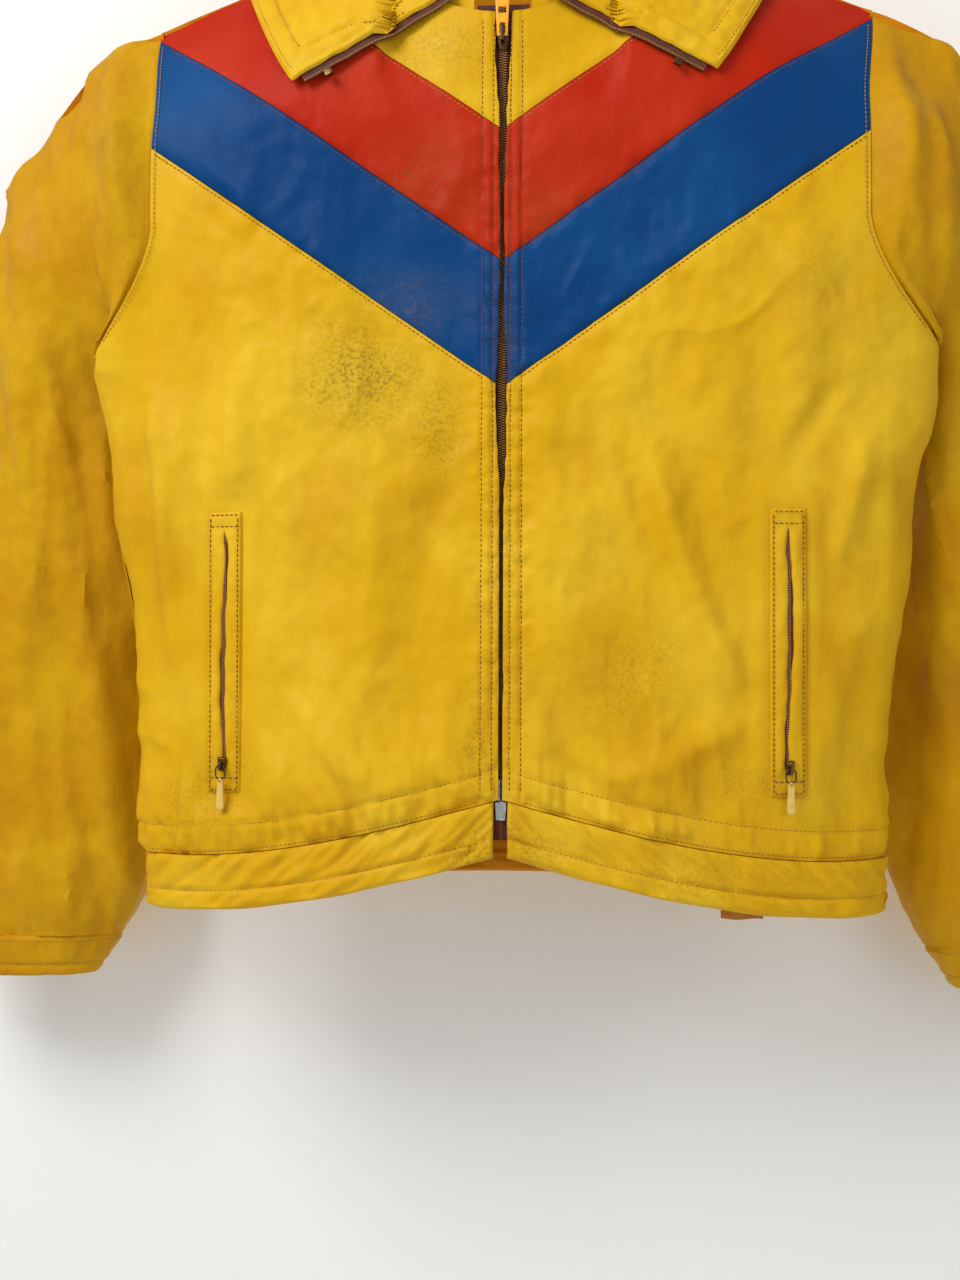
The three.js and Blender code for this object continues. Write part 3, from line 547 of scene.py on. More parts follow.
@dataclass(frozen=True)
class Moulded:
    """Moulded nylon or acetal: smooth with faint flow marks, dulled by handling."""

    name: str
    colour: Colour
    roughness: float
    glow: float = 0.0

    def material(self) -> bpy.types.Material:
        """The finish as a material.

        Returns:
            The material.
        """
        made, tree, place = new_material(self.name)
        shade = blended(tree, 0.35, linear(self.colour), (0.02, 0.01, 0.0, 1.0))
        paint = blended(
            tree, eased(tree, grain(tree, place, 3, 4.0), 0.4, 0.75, 0.5), linear(self.colour), shade
        )
        marks = grain(tree, place, 0.8, 3.0)
        relief = add_node(tree, "ShaderNodeBump", {"Height": marks, "Distance": 0.00005, "Strength": 0.4})
        gloss = reckoned(tree, "ADD", reckoned(tree, "MULTIPLY", marks, 0.12), self.roughness)
        shader = add_node(
            tree,
            "ShaderNodeBsdfPrincipled",
            {
                "Base Color": paint,
                "Roughness": gloss,
                "Normal": relief.outputs[0],
                "Subsurface Weight": self.glow,
                "Subsurface Radius": (0.001, 0.0006, 0.0002),
            },
        )
        close_material(tree, shader)
        return made


@dataclass(frozen=True)
class CastMetal:
    """Die-cast zip metal: bright where it rubs, duller in its pits."""

    name: str
    colour: Colour
    roughness: float
    tarnish: float

    def material(self) -> bpy.types.Material:
        """The finish as a material.

        Returns:
            The material.
        """
        made, tree, place = new_material(self.name)
        dull = blended(tree, self.tarnish, linear(self.colour), (0.02, 0.013, 0.008, 1.0))
        wear = eased(tree, grain(tree, place, 1.6, 5.0), 0.38, 0.68)
        paint = blended(tree, wear, linear(self.colour), dull)
        gloss = reckoned(tree, "ADD", reckoned(tree, "MULTIPLY", wear, 0.22), self.roughness)
        pits = add_node(
            tree, "ShaderNodeBump", {
                "Height": grain(tree, place, 0.5, 3.0), "Distance": 0.00005, "Strength": 0.5
            }
        )
        shader = add_node(
            tree,
            "ShaderNodeBsdfPrincipled",
            {"Base Color": paint, "Roughness": gloss, "Metallic": 1.0, "Normal": pits.outputs[0]},
        )
        close_material(tree, shader)
        return made


@dataclass(frozen=True)
class Emulsion:
    """Rolled matt emulsion on plaster, with the faint orange-peel a roller leaves."""

    name: str
    colour: Colour
    see_through_back: bool = False

    def material(self) -> bpy.types.Material:
        """The finish as a material.

        Returns:
            The material.
        """
        made, tree, place = new_material(self.name)
        peel = grain(tree, place, 4, 3.0)
        relief = add_node(tree, "ShaderNodeBump", {"Height": peel, "Distance": 0.0005, "Strength": 0.25})
        shader = add_node(
            tree,
            "ShaderNodeBsdfPrincipled",
            {"Base Color": linear(self.colour), "Roughness": 0.85, "Normal": relief.outputs[0]},
        )
        if self.see_through_back:
            behind = add_node(tree, "ShaderNodeNewGeometry").outputs["Backfacing"]
            clear = add_node(tree, "ShaderNodeBsdfTransparent")
            shader = add_node(
                tree, "ShaderNodeMixShader", {0: behind, 1: shader.outputs[0], 2: clear.outputs[0]}
            )
        close_material(tree, shader)
        return made


@dataclass
class Wardrobe:
    """Every finish of the jacket, made once."""

    yellow: bpy.types.Material = field(init=False)
    # Painted shade: the yellow nylon darkened for the sleeves, cuffs, back, back hem band and back collar
    # leaf.
    sleeve: bpy.types.Material = field(init=False)
    red: bpy.types.Material = field(init=False)
    blue: bpy.types.Material = field(init=False)
    lining: bpy.types.Material = field(init=False)
    tape: bpy.types.Material = field(init=False)
    coil: bpy.types.Material = field(init=False)
    thread: bpy.types.Material = field(init=False)
    dark_thread: bpy.types.Material = field(init=False)
    brass: bpy.types.Material = field(init=False)
    aluminium: bpy.types.Material = field(init=False)
    amber: bpy.types.Material = field(init=False)
    enamel: bpy.types.Material = field(init=False)
    ribbon: bpy.types.Material = field(init=False)
    label: bpy.types.Material = field(init=False)

    def __post_init__(self) -> None:
        """Makes the materials."""
        placket = Soil(0, -400, 17, 520, 0.34)
        chest = (
            Soil(-88, -296, 60, 62, 0.8),
            Soil(-40, -330, 34, 60, 0.55),
            Soil(78, -478, 70, 60, 0.34),
            Soil(-4, -585, 70, 32, 0.62),
            Soil(-12, -520, 26, 60, 0.5),
            Soil(185, -235, 40, 60, 0.25),
            Soil(130, -600, 120, 40, 0.32),
            Soil(-182, -560, 60, 60, 0.35),
            Soil(150, -545, 70, 26, 0.38),
        )
        collar = Soil(-40, -95, 90, 34, 0.4)
        band = (Soil(-46, -180, 60, 46, 0.5), Soil(28, -200, 40, 40, 0.3))
        self.yellow = NylonTaffeta(
            "yellow_nylon_taffeta", Colour.YELLOW, Colour.FADED_YELLOW, Colour.DEEP_YELLOW, soils=(
                placket, collar, *chest
            )
        ).material()
        # Painted shade: a darker copy of the yellow nylon, not a different dye.
        self.sleeve = NylonTaffeta(
            "yellow_nylon_sleeve", Colour.SLEEVE, Colour.SLEEVE_LIGHT, Colour.SLEEVE_DEEP, crinkle=0.8
        ).material()
        self.red = NylonTaffeta(
            "red_nylon_taffeta", Colour.RED, Colour.FADED_RED, Colour.RED, soils=(placket, *band)
        ).material()
        self.blue = NylonTaffeta(
            "blue_nylon_taffeta", Colour.BLUE, Colour.FADED_BLUE, Colour.BLUE, soils=(
                placket, Soil(-60, -255, 60, 40, 0.4)
            )
        ).material()
        self.lining = NylonTaffeta(
            "lining_taffeta", Colour.LINING, Colour.LINING, Colour.DEEP_YELLOW, 0.42
        ).material()
        self.tape = WovenTape("woven_zip_tape", Colour.TAPE).material()
        self.coil = Moulded("nylon_coil", Colour.COIL, 0.42).material()
        self.thread = WovenTape("polyester_thread", Colour.THREAD, 0.6).material()
        self.dark_thread = WovenTape("soiled_thread", Colour.DARK_THREAD, 0.7).material()
        self.brass = CastMetal("darkened_brass", Colour.BRASS, 0.32, 0.6).material()
        self.aluminium = CastMetal("die_cast_aluminium", Colour.ALUMINIUM, 0.28, 0.35).material()
        self.amber = Moulded("amber_acetal", Colour.AMBER, 0.28, 0.15).material()
        self.enamel = Moulded("stove_enamel", Colour.ENAMEL, 0.3).material()
        self.ribbon = WovenTape("woven_ribbon", Colour.LINING, 0.55).material()
        self.label = WovenTape("satin_label", Colour.LABEL, 0.5).material()


# ---- The body's form ----


@dataclass(frozen=True)
class BodyForm:
    """The jacket's body as two faces that meet at the shoulder and side seams."""

    neck_half: float = 76
    neck_front_drop: float = 74
    neck_back_drop: float = 18
    neck_back_bulge: float = 18
    shoulder_half: float = 229
    shoulder_drop: float = 62
    armhole_inset: float = 6
    armhole_straight: float = 200
    armpit: float = 275
    chest_half: float = 268
    hem_half: float = 234
    length: float = 626
    front_hem_rise: float = 38
    back_hem_rise: float = 16
    band: float = 34
    ridge_y: float = -12
    side_y: float = -25
    zip_top_y: float = -70
    zip_lean: float = 0.0388
    back_depth: float = 45
    power: float = 2.4
    fullness: float = 34
    shoulder_round: float = 110
    shoulder_gap: float = 0.4
    chevron_slope: float = 0.7
    yoke_line: float = -147
    red_line: float = -227.4
    blue_line: float = -304.8

    def half_width(self, z: Array) -> Array:
        """Half the body's width at a height.

        Args:
            z: Heights in the shared frame, in millimetres.

        Returns:
            Half the width at each height, in millimetres.
        """
        above = self.chest_half + self.fullness * smoothstep(z, -self.armpit, 90 - self.armpit)
        down = (-self.armpit - z) / (self.length - self.armpit)
        taper = np.sin(math.pi / 2 * np.clip(down * 1.1, 0, 1)) ** 1.3
        return np.where(z > -self.armpit, above, lerp(self.chest_half, self.hem_half, taper))

    def outer_edge(self, z: Array) -> Array:
        """Where the panels end at a height: on the armhole, or on the side seam below it.

        Args:
            z: Heights in the shared frame, in millimetres.

        Returns:
            How far out the panels end at each height, in millimetres.
        """
        straight = self.shoulder_half - self.armhole_inset * (1 - smoothstep(z, -130, -self.shoulder_drop))
        flare = np.clip((-self.armhole_straight - z) / (self.armpit - self.armhole_straight), 0, 1)
        return np.where(z <= -self.armpit, self.half_width(z), lerp(straight, self.chest_half, flare**1.6))

    def zip_y(self, z: Array) -> Array:
        """Depth of the zip line at a height."""
        return self.zip_top_y + self.zip_lean * (z + self.neck_front_drop)

    def neck_arc(self, x: Array) -> Array:
        """How far across the neck opening a place is: 1 at the middle, 0 at its end."""
        return np.sqrt(np.clip(1 - (x / self.neck_half) ** 2, 0, 1))

    def top_edge(self, x: Array, drop: float) -> Array:
        """Height of the neckline or the shoulder seam."""
        out = np.abs(x)
        slope = -self.shoulder_drop * (out - self.neck_half) / (self.shoulder_half - self.neck_half)
        return np.where(out < self.neck_half, -drop * self.neck_arc(x), slope)

    def angle(self, x: Array, z: Array) -> Array:
        """The angle round the section at which it reaches x."""
        return np.arcsin(np.clip(np.abs(x) / self.half_width(z), 0, 1) ** (self.power / 2))

    def reach(self, angle: Array, z: Array) -> Array:
        """How far out the section is at an angle."""
        return self.half_width(z) * np.clip(np.sin(angle), 0, 1) ** (2 / self.power)

    def front(self, angle: Array, z: Array) -> Array:
        """Points of the front's outer face, on the +X half.

        Args:
            angle: Angles round the body, in radians.
            z: Heights in the shared frame, in millimetres.

        Returns:
            The points, in millimetres.
        """
        x = self.reach(angle, z)
        bow = np.clip(np.cos(angle), 0, 1) ** (2 / self.power)
        rolled = np.sin(
            math.pi / 2 * np.clip((self.top_edge(x, self.neck_front_drop) - z) / self.shoulder_round, 0, 1)
        )
        at_top = (self.ridge_y - self.zip_top_y - self.shoulder_gap) * (1 - self.neck_arc(x))
        at_chest = (self.side_y - self.zip_y(z)) * (1 - bow)
        return np.stack([x, self.zip_y(z) + lerp(at_top, at_chest, rolled) - 0.2, z + x * 0], -1)

    def back(self, angle: Array, z: Array) -> Array:
        """Points of the back's outer face, on the +X half.

        Args:
            angle: Angles round the body, in radians.
            z: Heights in the shared frame, in millimetres.

        Returns:
            The points, in millimetres.
        """
        x = self.reach(angle, z)
        bow = np.clip(np.cos(angle), 0, 1) ** (2 / self.power)
        rolled = np.sin(
            math.pi / 2 * np.clip((self.top_edge(x, self.neck_back_drop) - z) / self.shoulder_round, 0, 1)
        )
        at_top = self.ridge_y + self.shoulder_gap + self.neck_back_bulge * self.neck_arc(x)
        at_chest = self.side_y + self.back_depth * bow
        return np.stack([x, lerp(at_top, at_chest, rolled) + 0.2, z + x * 0], -1)

    def front_hem(self, x: Array) -> Array:
        """Height of the front's lower edge."""
        out = np.sin(math.pi / 2 * np.clip(np.abs(x) / (self.hem_half - 18), 0, 1))
        return -self.length + self.front_hem_rise * (1 - out)

    def back_hem(self, x: Array) -> Array:
        """Height of the back's lower edge."""
        out = np.cos(math.pi / 2 * np.clip(np.abs(x) / self.hem_half, 0, 1))
        return -self.length + self.back_hem_rise * out

    def at_armhole(self, relief: Array, x: Array, z: Array) -> Array:
        """Settles a relief into the armhole seam.

        Args:
            relief: The relief to settle.
            x: Distances from the centre line, in millimetres.
            z: Heights in the shared frame, in millimetres.

        Returns:
            The settled relief.
        """
        sewn = smoothstep(z, -self.armpit - 30, -self.armpit + 10)
        off = self.outer_edge(z) - x
        return relief * lerp(1, smoothstep(off, 0, 16), sewn) - 1.0 * dip(off, 2.4) * sewn

    def chevron(self, height: float) -> Callable[[Array], Array]:
        """A chevron line that crosses the zip at a height."""
        return lambda x: height + self.chevron_slope * np.abs(x)

    def on_row(
        self, row_at: Callable[[Array], Array], inner: Callable, outer: Callable, share: Array
    ) -> tuple[Array, Array]:
        """Where a share of the way out meets a line across the body.

        Args:
            row_at: Height of the line over x.
            inner: x of the inner edge at a height.
            outer: x of the outer edge at a height.
            share: How far out, from 0 to 1, at each point.

        Returns:
            The angle round the section and the height, at each point.
        """
        low, high = np.full(share.shape, -720.0), np.full(share.shape, 30.0)
        for _ in range(36):
            z = (low + high) / 2
            angle = lerp(self.angle(inner(z), z), self.angle(outer(z), z), share)
            under = z < row_at(self.reach(angle, z))
            low, high = np.where(under, z, low), np.where(under, high, z)
        return angle, z


def facing(surface: Surface, angle: Array, z: Array, sign: float) -> tuple[Array, Array]:
    """Points of a face and the directions in which it faces.

    Args:
        surface: The face, over the angle round the section and the height.
        angle: Angles round the section.
        z: Heights.
        sign: 1 or -1, whichever turns the directions outwards.

    Returns:
        The points and their unit normals.
    """
    around = surface(
        np.clip(angle + 0.003, 0, math.pi / 2), z
    ) - surface(np.clip(angle - 0.003, 0, math.pi / 2), z)
    up = surface(angle, z + 0.4) - surface(angle, z - 0.4)
    return surface(angle, z), unit(np.cross(around, up)) * sign


@dataclass(frozen=True)
class Fold:
    """A long soft fold over the cloth: its ends (x, z), half width and height; a valley is negative."""

    start: tuple[float, float]
    end: tuple[float, float]
    width: float
    height: float

    def relief(self, x: Array, z: Array) -> Array:
        """How far the fold lifts each place.

        Args:
            x: Distances from the centre line, in millimetres.
            z: Heights in the shared frame, in millimetres.

        Returns:
            The relief, in millimetres.
        """
        along = np.array(self.end, float) - self.start
        span = np.linalg.norm(along)
        dx, dz = x - self.start[0], z - self.start[1]
        share = (dx * along[0] + dz * along[1]) / span**2
        off = (dx * along[1] - dz * along[0]) / span + 4 * np.sin(share * 5 + self.start[0])
        ends = smoothstep(share, -0.12, 0.2) * (1 - smoothstep(share, 0.8, 1.12))
        return self.height * dip(off, self.width) * ends


FRONT_FOLDS = (
    Fold((84, -330), (142, -492), 9, 1.9),
    Fold((70, -345), (124, -500), 8, -1.4),
    Fold((36, -335), (80, -420), 9, -1.3),
    Fold((108, -345), (146, -430), 8, -1.2),
    Fold((60, -540), (150, -515), 9, 1.4),
    Fold((30, -470), (46, -560), 10, -1.4),
    Fold((196, -300), (172, -372), 7, -1.8),
    Fold((214, -330), (206, -420), 9, 2.0),
    Fold((222, -470), (208, -600), 10, -1.8),
    Fold((150, -260), (158, -372), 11, -1.4),
    Fold((20, -530), (100, -565), 7, -1.5),
    Fold((-180, -265), (-186, -392), 10, -2.2),
    Fold((-160, -285), (-166, -384), 10, 1.4),
    Fold((-36, -330), (-50, -530), 12, -1.5),
    Fold((-70, -350), (-92, -540), 16, 1.3),
    Fold((-112, -330), (-118, -560), 15, -1.2),
    Fold((-226, -300), (-202, -470), 9, 2.0),
    Fold((-238, -330), (-216, -480), 8, -2.0),
    Fold((-214, -480), (-206, -600), 9, -1.8),
    Fold((-130, -500), (-60, -560), 9, 1.2),
)


@dataclass
class Front:
    """One half of the front: its lower panel, the blue and red bands, the yoke and the hem band."""

    form: BodyForm
    side: Side
    wear: Wardrobe
    thickness: float = 1.6
    seam: float = 0.5
    edge_stitch: float = 5.4
    placket_stitch: float = 12.2
    gather_line: float = 18.0
    hem_stitch: float = 12.0
    pocket_x: float = 172
    pocket_top: float = -379
    pocket_length: float = 173

    def placket_edge(self, z: Array) -> Array:
        """Half the gap between the two plackets at a height.

        Args:
            z: Heights in the shared frame, in millimetres.

        Returns:
            Half the gap at each height, in millimetres.
        """
        s = self.side.value
        wide = 1.0 + 1.3 * smoothstep(z, -215, -150) + 2.9 * smoothstep(z, -150, -88) + 2.3 * dip(z + 305, 50)
        waver = noise(np.stack([z * 0 + s * 40, z * 0, z], -1), (30, 30, 26), 5)
        ripple = noise(np.stack([z * 0 + s * 40, z * 0, z], -1), (30, 30, 7), 6)
        return np.maximum(wide + 0.9 * waver + 0.5 * ripple, 1.3)

    def panel_edge(self, z: Array) -> Array:
        """Where the panels end, short of the armhole seam."""
        pit = -self.form.armpit
        return self.form.outer_edge(z) - lerp(0.1, 0.6, smoothstep(z, pit - 12, pit + 12))

    def base(self, angle: Array, z: Array) -> Array:
        """The smooth face of this half."""
        return self.form.front(angle, z) * np.array([self.side.value, 1, 1])

    def seam_relief(self, point: Array, x: Array, z: Array) -> Array:
        """Valleys and puckers along the chevron seams.

        Args:
            point: Points of the smooth face, in millimetres.
            x: Distances from the centre line, in millimetres.
            z: Heights in the shared frame, in millimetres.

        Returns:
            The relief, in millimetres.
        """
        total = np.zeros_like(z)
        for height in (self.form.yoke_line, self.form.red_line, self.form.blue_line):
            off = (z - height - self.form.chevron_slope * x) / 1.22
            pucker = noise(point, (9, 30, 9), 11)
            total += -1.4 * dip(off, 1.7) + 0.7 * dip(np.abs(off) - 7, 6) + 1.5 * pucker * dip(off, 8)
            total += -0.4 * dip(off + 2.6, 1.1)
        return total

    def placket_relief(self, point: Array, x: Array, z: Array) -> Array:
        """Stitched rolls and puckers of the folded placket.

        Args:
            point: Points of the smooth face, in millimetres.
            x: Distances from the centre line, in millimetres.
            z: Heights in the shared frame, in millimetres.

        Returns:
            The relief, in millimetres.
        """
        ripple = noise(point, (14, 30, 8), 21) + 0.5 * noise(point, (10, 30, 4.2), 22)
        near = 1 - smoothstep(x, 12, 25)
        total = -1.15 * dip(x - self.edge_stitch, 1.15) - 1.35 * dip(x - self.placket_stitch, 1.3)
        total += 0.9 * dip(x - 8.8, 2.6) + 1.7 * ripple * near
        edge = np.clip((x - self.placket_edge(z)) / 3.2, 0, 1)
        return total - 1.0 * (1 - rounded(edge * 3.2, 3.2))

    def waist_relief(self, point: Array, x: Array, z: Array) -> Array:
        """The blouse over the hem band and the gathers stitched into it.

        Args:
            point: Points of the smooth face, in millimetres.
            x: Distances from the centre line, in millimetres.
            z: Heights in the shared frame, in millimetres.

        Returns:
            The relief, in millimetres.
        """
        up = z - self.form.front_hem(x) - self.form.band
        gather = noise(point, (5.4, 60, 46), 31) + 0.5 * noise(point, (13, 60, 70), 32)
        slant = noise(point + np.stack([z, z * 0, x], -1) * 0.6, (11, 40, 34), 33)
        total = 2.6 * dip(up - 30, 20) - 2.6 * dip(up, 3.4) - 1.5 * dip(up - self.gather_line, 1.7)
        total += 4.6 * gather * np.exp(-np.clip(up, 0, None) / 20) * smoothstep(up, 0.5, 5)
        return total + 3.8 * slant * np.exp(-np.clip(up, 0, None) / 40) * smoothstep(up, 1, 8)

    def by_pocket(self, x: Array, z: Array) -> Array:
        """How far the pocket's stitching holds the cloth flat, from 0 to 1.

        Args:
            x: Distances from the centre line, in millimetres.
            z: Heights in the shared frame, in millimetres.

        Returns:
            1 where the cloth is held flat, falling to 0 away from the pocket.
        """
        half = self.pocket_length / 2
        high = np.abs(z - self.pocket_top + half)
        return smoothstep(np.abs(x - self.pocket_x), 32, 13) * smoothstep(high, half + 26, half + 2)

    def pocket_relief(self, x: Array, z: Array) -> Array:
        """The shallow hollow and the drag lines round the pocket.

        Args:
            x: Distances from the centre line, in millimetres.
            z: Heights in the shared frame, in millimetres.

        Returns:
            The relief, in millimetres.
        """
        dx = x - self.pocket_x
        middle = self.pocket_top - self.pocket_length / 2
        inside = smoothstep(np.abs(z - middle), self.pocket_length / 2 + 8, self.pocket_length / 2 - 4)
        total = -0.9 * inside * smoothstep(np.abs(dx), 15, 8)
        return total + 0.8 * inside * dip(np.abs(dx) - 18, 5)

    def relief(self, point: Array, z: Array) -> Array:
        """How far the cloth stands off its smooth face, in all.

        Args:
            point: Points of the smooth face, in millimetres.
            z: Heights in the shared frame, in millimetres.

        Returns:
            The relief, in millimetres.
        """
        x = np.abs(point[..., 0])
        signed = point[..., 0]
        calm = smoothstep(x, 6, 30)
        total = self.waist_relief(point, x, z)
        padding = 6.0 * noise(point, (100, 200, 150), 41) + 4.2 * noise(point, (42, 120, 62), 42)
        crumple = 1.3 * noise(point, (17, 40, 24), 43) + 0.5 * noise(point, (8, 30, 10), 44)
        creases = 2.4 * ridges(point, (44, 90, 60), 45) * np.clip(noise(point, (70, 90, 90), 46) + 0.25, 0, 1)
        total += calm * (padding + crumple + creases)
        total += 5.0 * noise(point, (24, 60, 90), 47) * smoothstep(
            x, self.form.half_width(z) - 60, self.form.half_width(z)
        )
        for fold in FRONT_FOLDS:
            total += 2.8 * fold.relief(signed, z) * np.clip(signed * fold.start[0], 0, 1)
        total *= 1 - 0.92 * self.by_pocket(x, z)
        total += self.seam_relief(point, x, z) + self.placket_relief(point, x, z) + self.pocket_relief(x, z)
        total *= lerp(0.3, 1, smoothstep(-z, 118, 175))
        held = 1.4 * np.tanh(total / 1.4)
        total = lerp(held, total, smoothstep(x, 9, 24))
        bag = smoothstep(np.abs(x - 139), 64, 50) * smoothstep(np.abs(z + 475), 128, 105)
        return self.form.at_armhole(kept_above(total, lerp(5.2, 2.0, bag)), x, z)

    def outer(self, angle: Array, z: Array) -> Array:
        """The cloth's outer face."""
        point, normal = facing(self.base, angle, z, self.side.value)
        return point + normal * self.relief(point, z)[..., None]

    def over(self, x: Array, z: Array) -> tuple[Array, Array]:
        """The cloth and its normals over places (x, z)."""
        return facing(self.outer, self.form.angle(x, z), z, self.side.value)

    def columns(self, last: float, count: int) -> Array:
        """Shares of the way out, close together by the placket."""
        near = np.arange(0, 17, 0.95)
        far = 17 + (last - 17) * np.linspace(0, 1, count) ** 1.05
        x = np.concatenate([near, far[1:]])
        share = (x / x[-1]) ** 1.2
        return np.arcsin(share) / (math.pi / 2)

    def panel(
        self, name: str, low: Callable, high: Callable, outer_at: Callable, rows: int, cols: int, finish: Any
    ) -> bpy.types.Object:
        """One panel between two lines.

        Args:
            name: The piece's name, without its hand.
            low: Height of the lower line over x.
            high: Height of the upper line over x.
            outer_at: x of the outer edge at a height.
            rows: Rows of points.
            cols: Columns of points beyond the placket.
            finish: Its material.

        Returns:
            The panel.
        """
        share, v = np.meshgrid(self.columns(250, cols), np.linspace(0, 1, rows))
        gap = self.seam / 2
        angle, z = self.form.on_row(
            lambda x: lerp(low(x) + gap, high(x) - gap, v), self.placket_edge, outer_at, share
        )
        outer = self.outer(angle, z)
        smooth = self.base(angle, z)
        normal = grid_normals(smooth, False, self.side.value)
        made = shell(
            f"{name}_{self.side.hand}", outer, outer - normal * self.thickness, [finish, self.wear.lining]
        )
        return made

    def build(self) -> None:
        """Makes the front's pieces."""
        form, hand = self.form, self.side.hand
        shoulder = lambda x: form.top_edge(x, form.neck_front_drop)
        band_top = lambda x: form.front_hem(x) + form.band
        slope = form.shoulder_drop / (form.shoulder_half - form.neck_half)
        tip = (form.neck_half * slope - form.yoke_line) / (form.chevron_slope + slope) - 0.5
        red_top = lambda x: np.minimum(form.chevron(form.yoke_line)(x), shoulder(x))
        lower = self.panel(
            "lower_front", band_top, form.chevron(form.blue_line), self.panel_edge, 176, 120, self.wear.yellow
        )
        blue = self.panel(
            "blue_chevron", form.chevron(
                form.blue_line
            ), form.chevron(form.red_line), self.panel_edge, 36, 84, self.wear.blue
        )
        red = self.panel(
            "red_chevron", form.chevron(form.red_line), red_top, self.panel_edge, 36, 84, self.wear.red
        )
        yoke = self.panel(
            "yoke_front", form.chevron(
                form.yoke_line
            ), shoulder, lambda z: tip + z * 0, 44, 70, self.wear.yellow
        )
        for made, node, slot in (
            (lower, "front_panel", "yellow_nylon"),
            (blue, "blue_band", "blue_nylon"),
            (red, "red_band", "red_nylon"),
            (yoke, "yoke", "yellow_nylon"),
        ):
            settle(made, "torso", slot, f"{node}_{hand}")
        self.hem_band()
        self.stitching()

    def band_relief(self, point: Array, z: Array) -> Array:
        """Padding, channels and slanting puckers of the hem band.

        Args:
            point: Points of the smooth face, in millimetres.
            z: Heights in the shared frame, in millimetres.

        Returns:
            The relief, in millimetres.
        """
        x = np.abs(point[..., 0])
        up = z - self.form.front_hem(x)
        channels = -1.3 * dip(up - self.hem_stitch, 1.5) - 1.2 * dip(up - self.form.band, 2.6)
        s = self.side.value
        slanted = point + np.stack([s * z * 0.9, z * 0, z * 0], -1)
        pucker = noise(slanted, (10, 60, 34), 51) + 0.7 * noise(slanted, (6, 60, 15), 52)
        quiet = 1 - 0.75 * dip(up - self.hem_stitch, 2.2)
        swell = 1.2 + 0.8 * noise(point, (60, 90, 60), 53)
        return channels + 3.0 * pucker * quiet * smoothstep(up, 0, 5) + swell

    def band_outer(self, angle: Array, z: Array) -> Array:
        """The hem band's outer face."""
        point, normal = facing(self.base, angle, z, self.side.value)
        return point + normal * self.band_relief(point, z)[..., None]

    def hem_band(self) -> None:
        """Makes the padded band along the front's lower edge."""
        form = self.form
        share, v = np.meshgrid(self.columns(232, 90), np.linspace(0, 1, 30))
        inner_at = lambda z: 4.2 + z * 0
        low = lambda x: form.front_hem(x) + 0.6 * np.sin(x / 9) * 0.5
        row_at = lambda x: lerp(low(x), form.front_hem(x) + form.band - self.seam / 2, v)
        angle, z = form.on_row(row_at, inner_at, self.panel_edge, share)
        outer = self.band_outer(angle, z)
        normal = grid_normals(self.base(angle, z), False, self.side.value)
        far = edge_distance(outer, True, False, True, False)
        edge = rounded(far, 3.0)[..., None]
        face = outer - normal * 2.4 * (1 - edge)
        inside = outer - normal * (2.4 + 2.6 * edge)
        made = shell(f"hem_band_front_{self.side.hand}", face, inside, [self.wear.yellow, self.wear.lining])
        settle(made, "torso", "yellow_nylon", f"waistband_front_{self.side.hand}")

    def band_over(self, x: Array, z: Array) -> tuple[Array, Array]:
        """The hem band and its normals over places (x, z)."""
        return facing(self.band_outer, self.form.angle(x, z), z, self.side.value)

    def stitching(self) -> None:
        """Sews the seams, the placket, the gather line and the hem."""
        form = self.form
        seams, soiled = Seam(), Seam()
        for height in (form.yoke_line, form.red_line, form.blue_line):
            x = np.arange(13, 221, 0.6)
            z = form.chevron(height)(x) - 2.6
            x, z = x[
                z < form.top_edge(x, form.neck_front_drop) - 3
            ], z[z < form.top_edge(x, form.neck_front_drop) - 3]
            (soiled if height != form.yoke_line else seams).run(*self.over(x, z))
        for at in (self.edge_stitch, self.placket_stitch):
            z = np.arange(-549, -78, 0.6)
            sway = 0.35 * noise(np.stack([z * 0 + at, z * 0, z], -1), (9, 9, 14), 3)
            soiled.run(*self.over(at + sway, z))
        x = np.arange(14, 228, 0.6)
        seams.run(*self.over(x, form.front_hem(x) + form.band + self.gather_line))
        seams.run(*self.over(x, form.front_hem(x) + form.band + 2.4))
        seams.run(*self.band_over(x, form.front_hem(x) + self.hem_stitch))
        z = np.arange(-268, -72, 0.6)
        seams.run(*self.over(form.outer_edge(z) - 3.4, z))
        seams.sew(f"thread_front_{self.side.hand}", "torso", self.wear.thread)
        soiled.sew(f"thread_placket_{self.side.hand}", "torso", self.wear.dark_thread)


def settle(made: bpy.types.Object, body: str | None, slot: str, *nodes: str) -> None:
    """Gives a finished piece its body, hides the frame's nodes it stands for, and reports it.

    Args:
        made: The piece.
        body: The body it rides on, or None to leave it without one.
        slot: Not used.
        nodes: The frame's nodes that it stands for.
    """
    if body:
        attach(made, body)
    if nodes:
        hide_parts(*nodes)
    log.info("%s: %d faces for %s", made.name, len(made.data.polygons), ", ".join(nodes) or "detail")


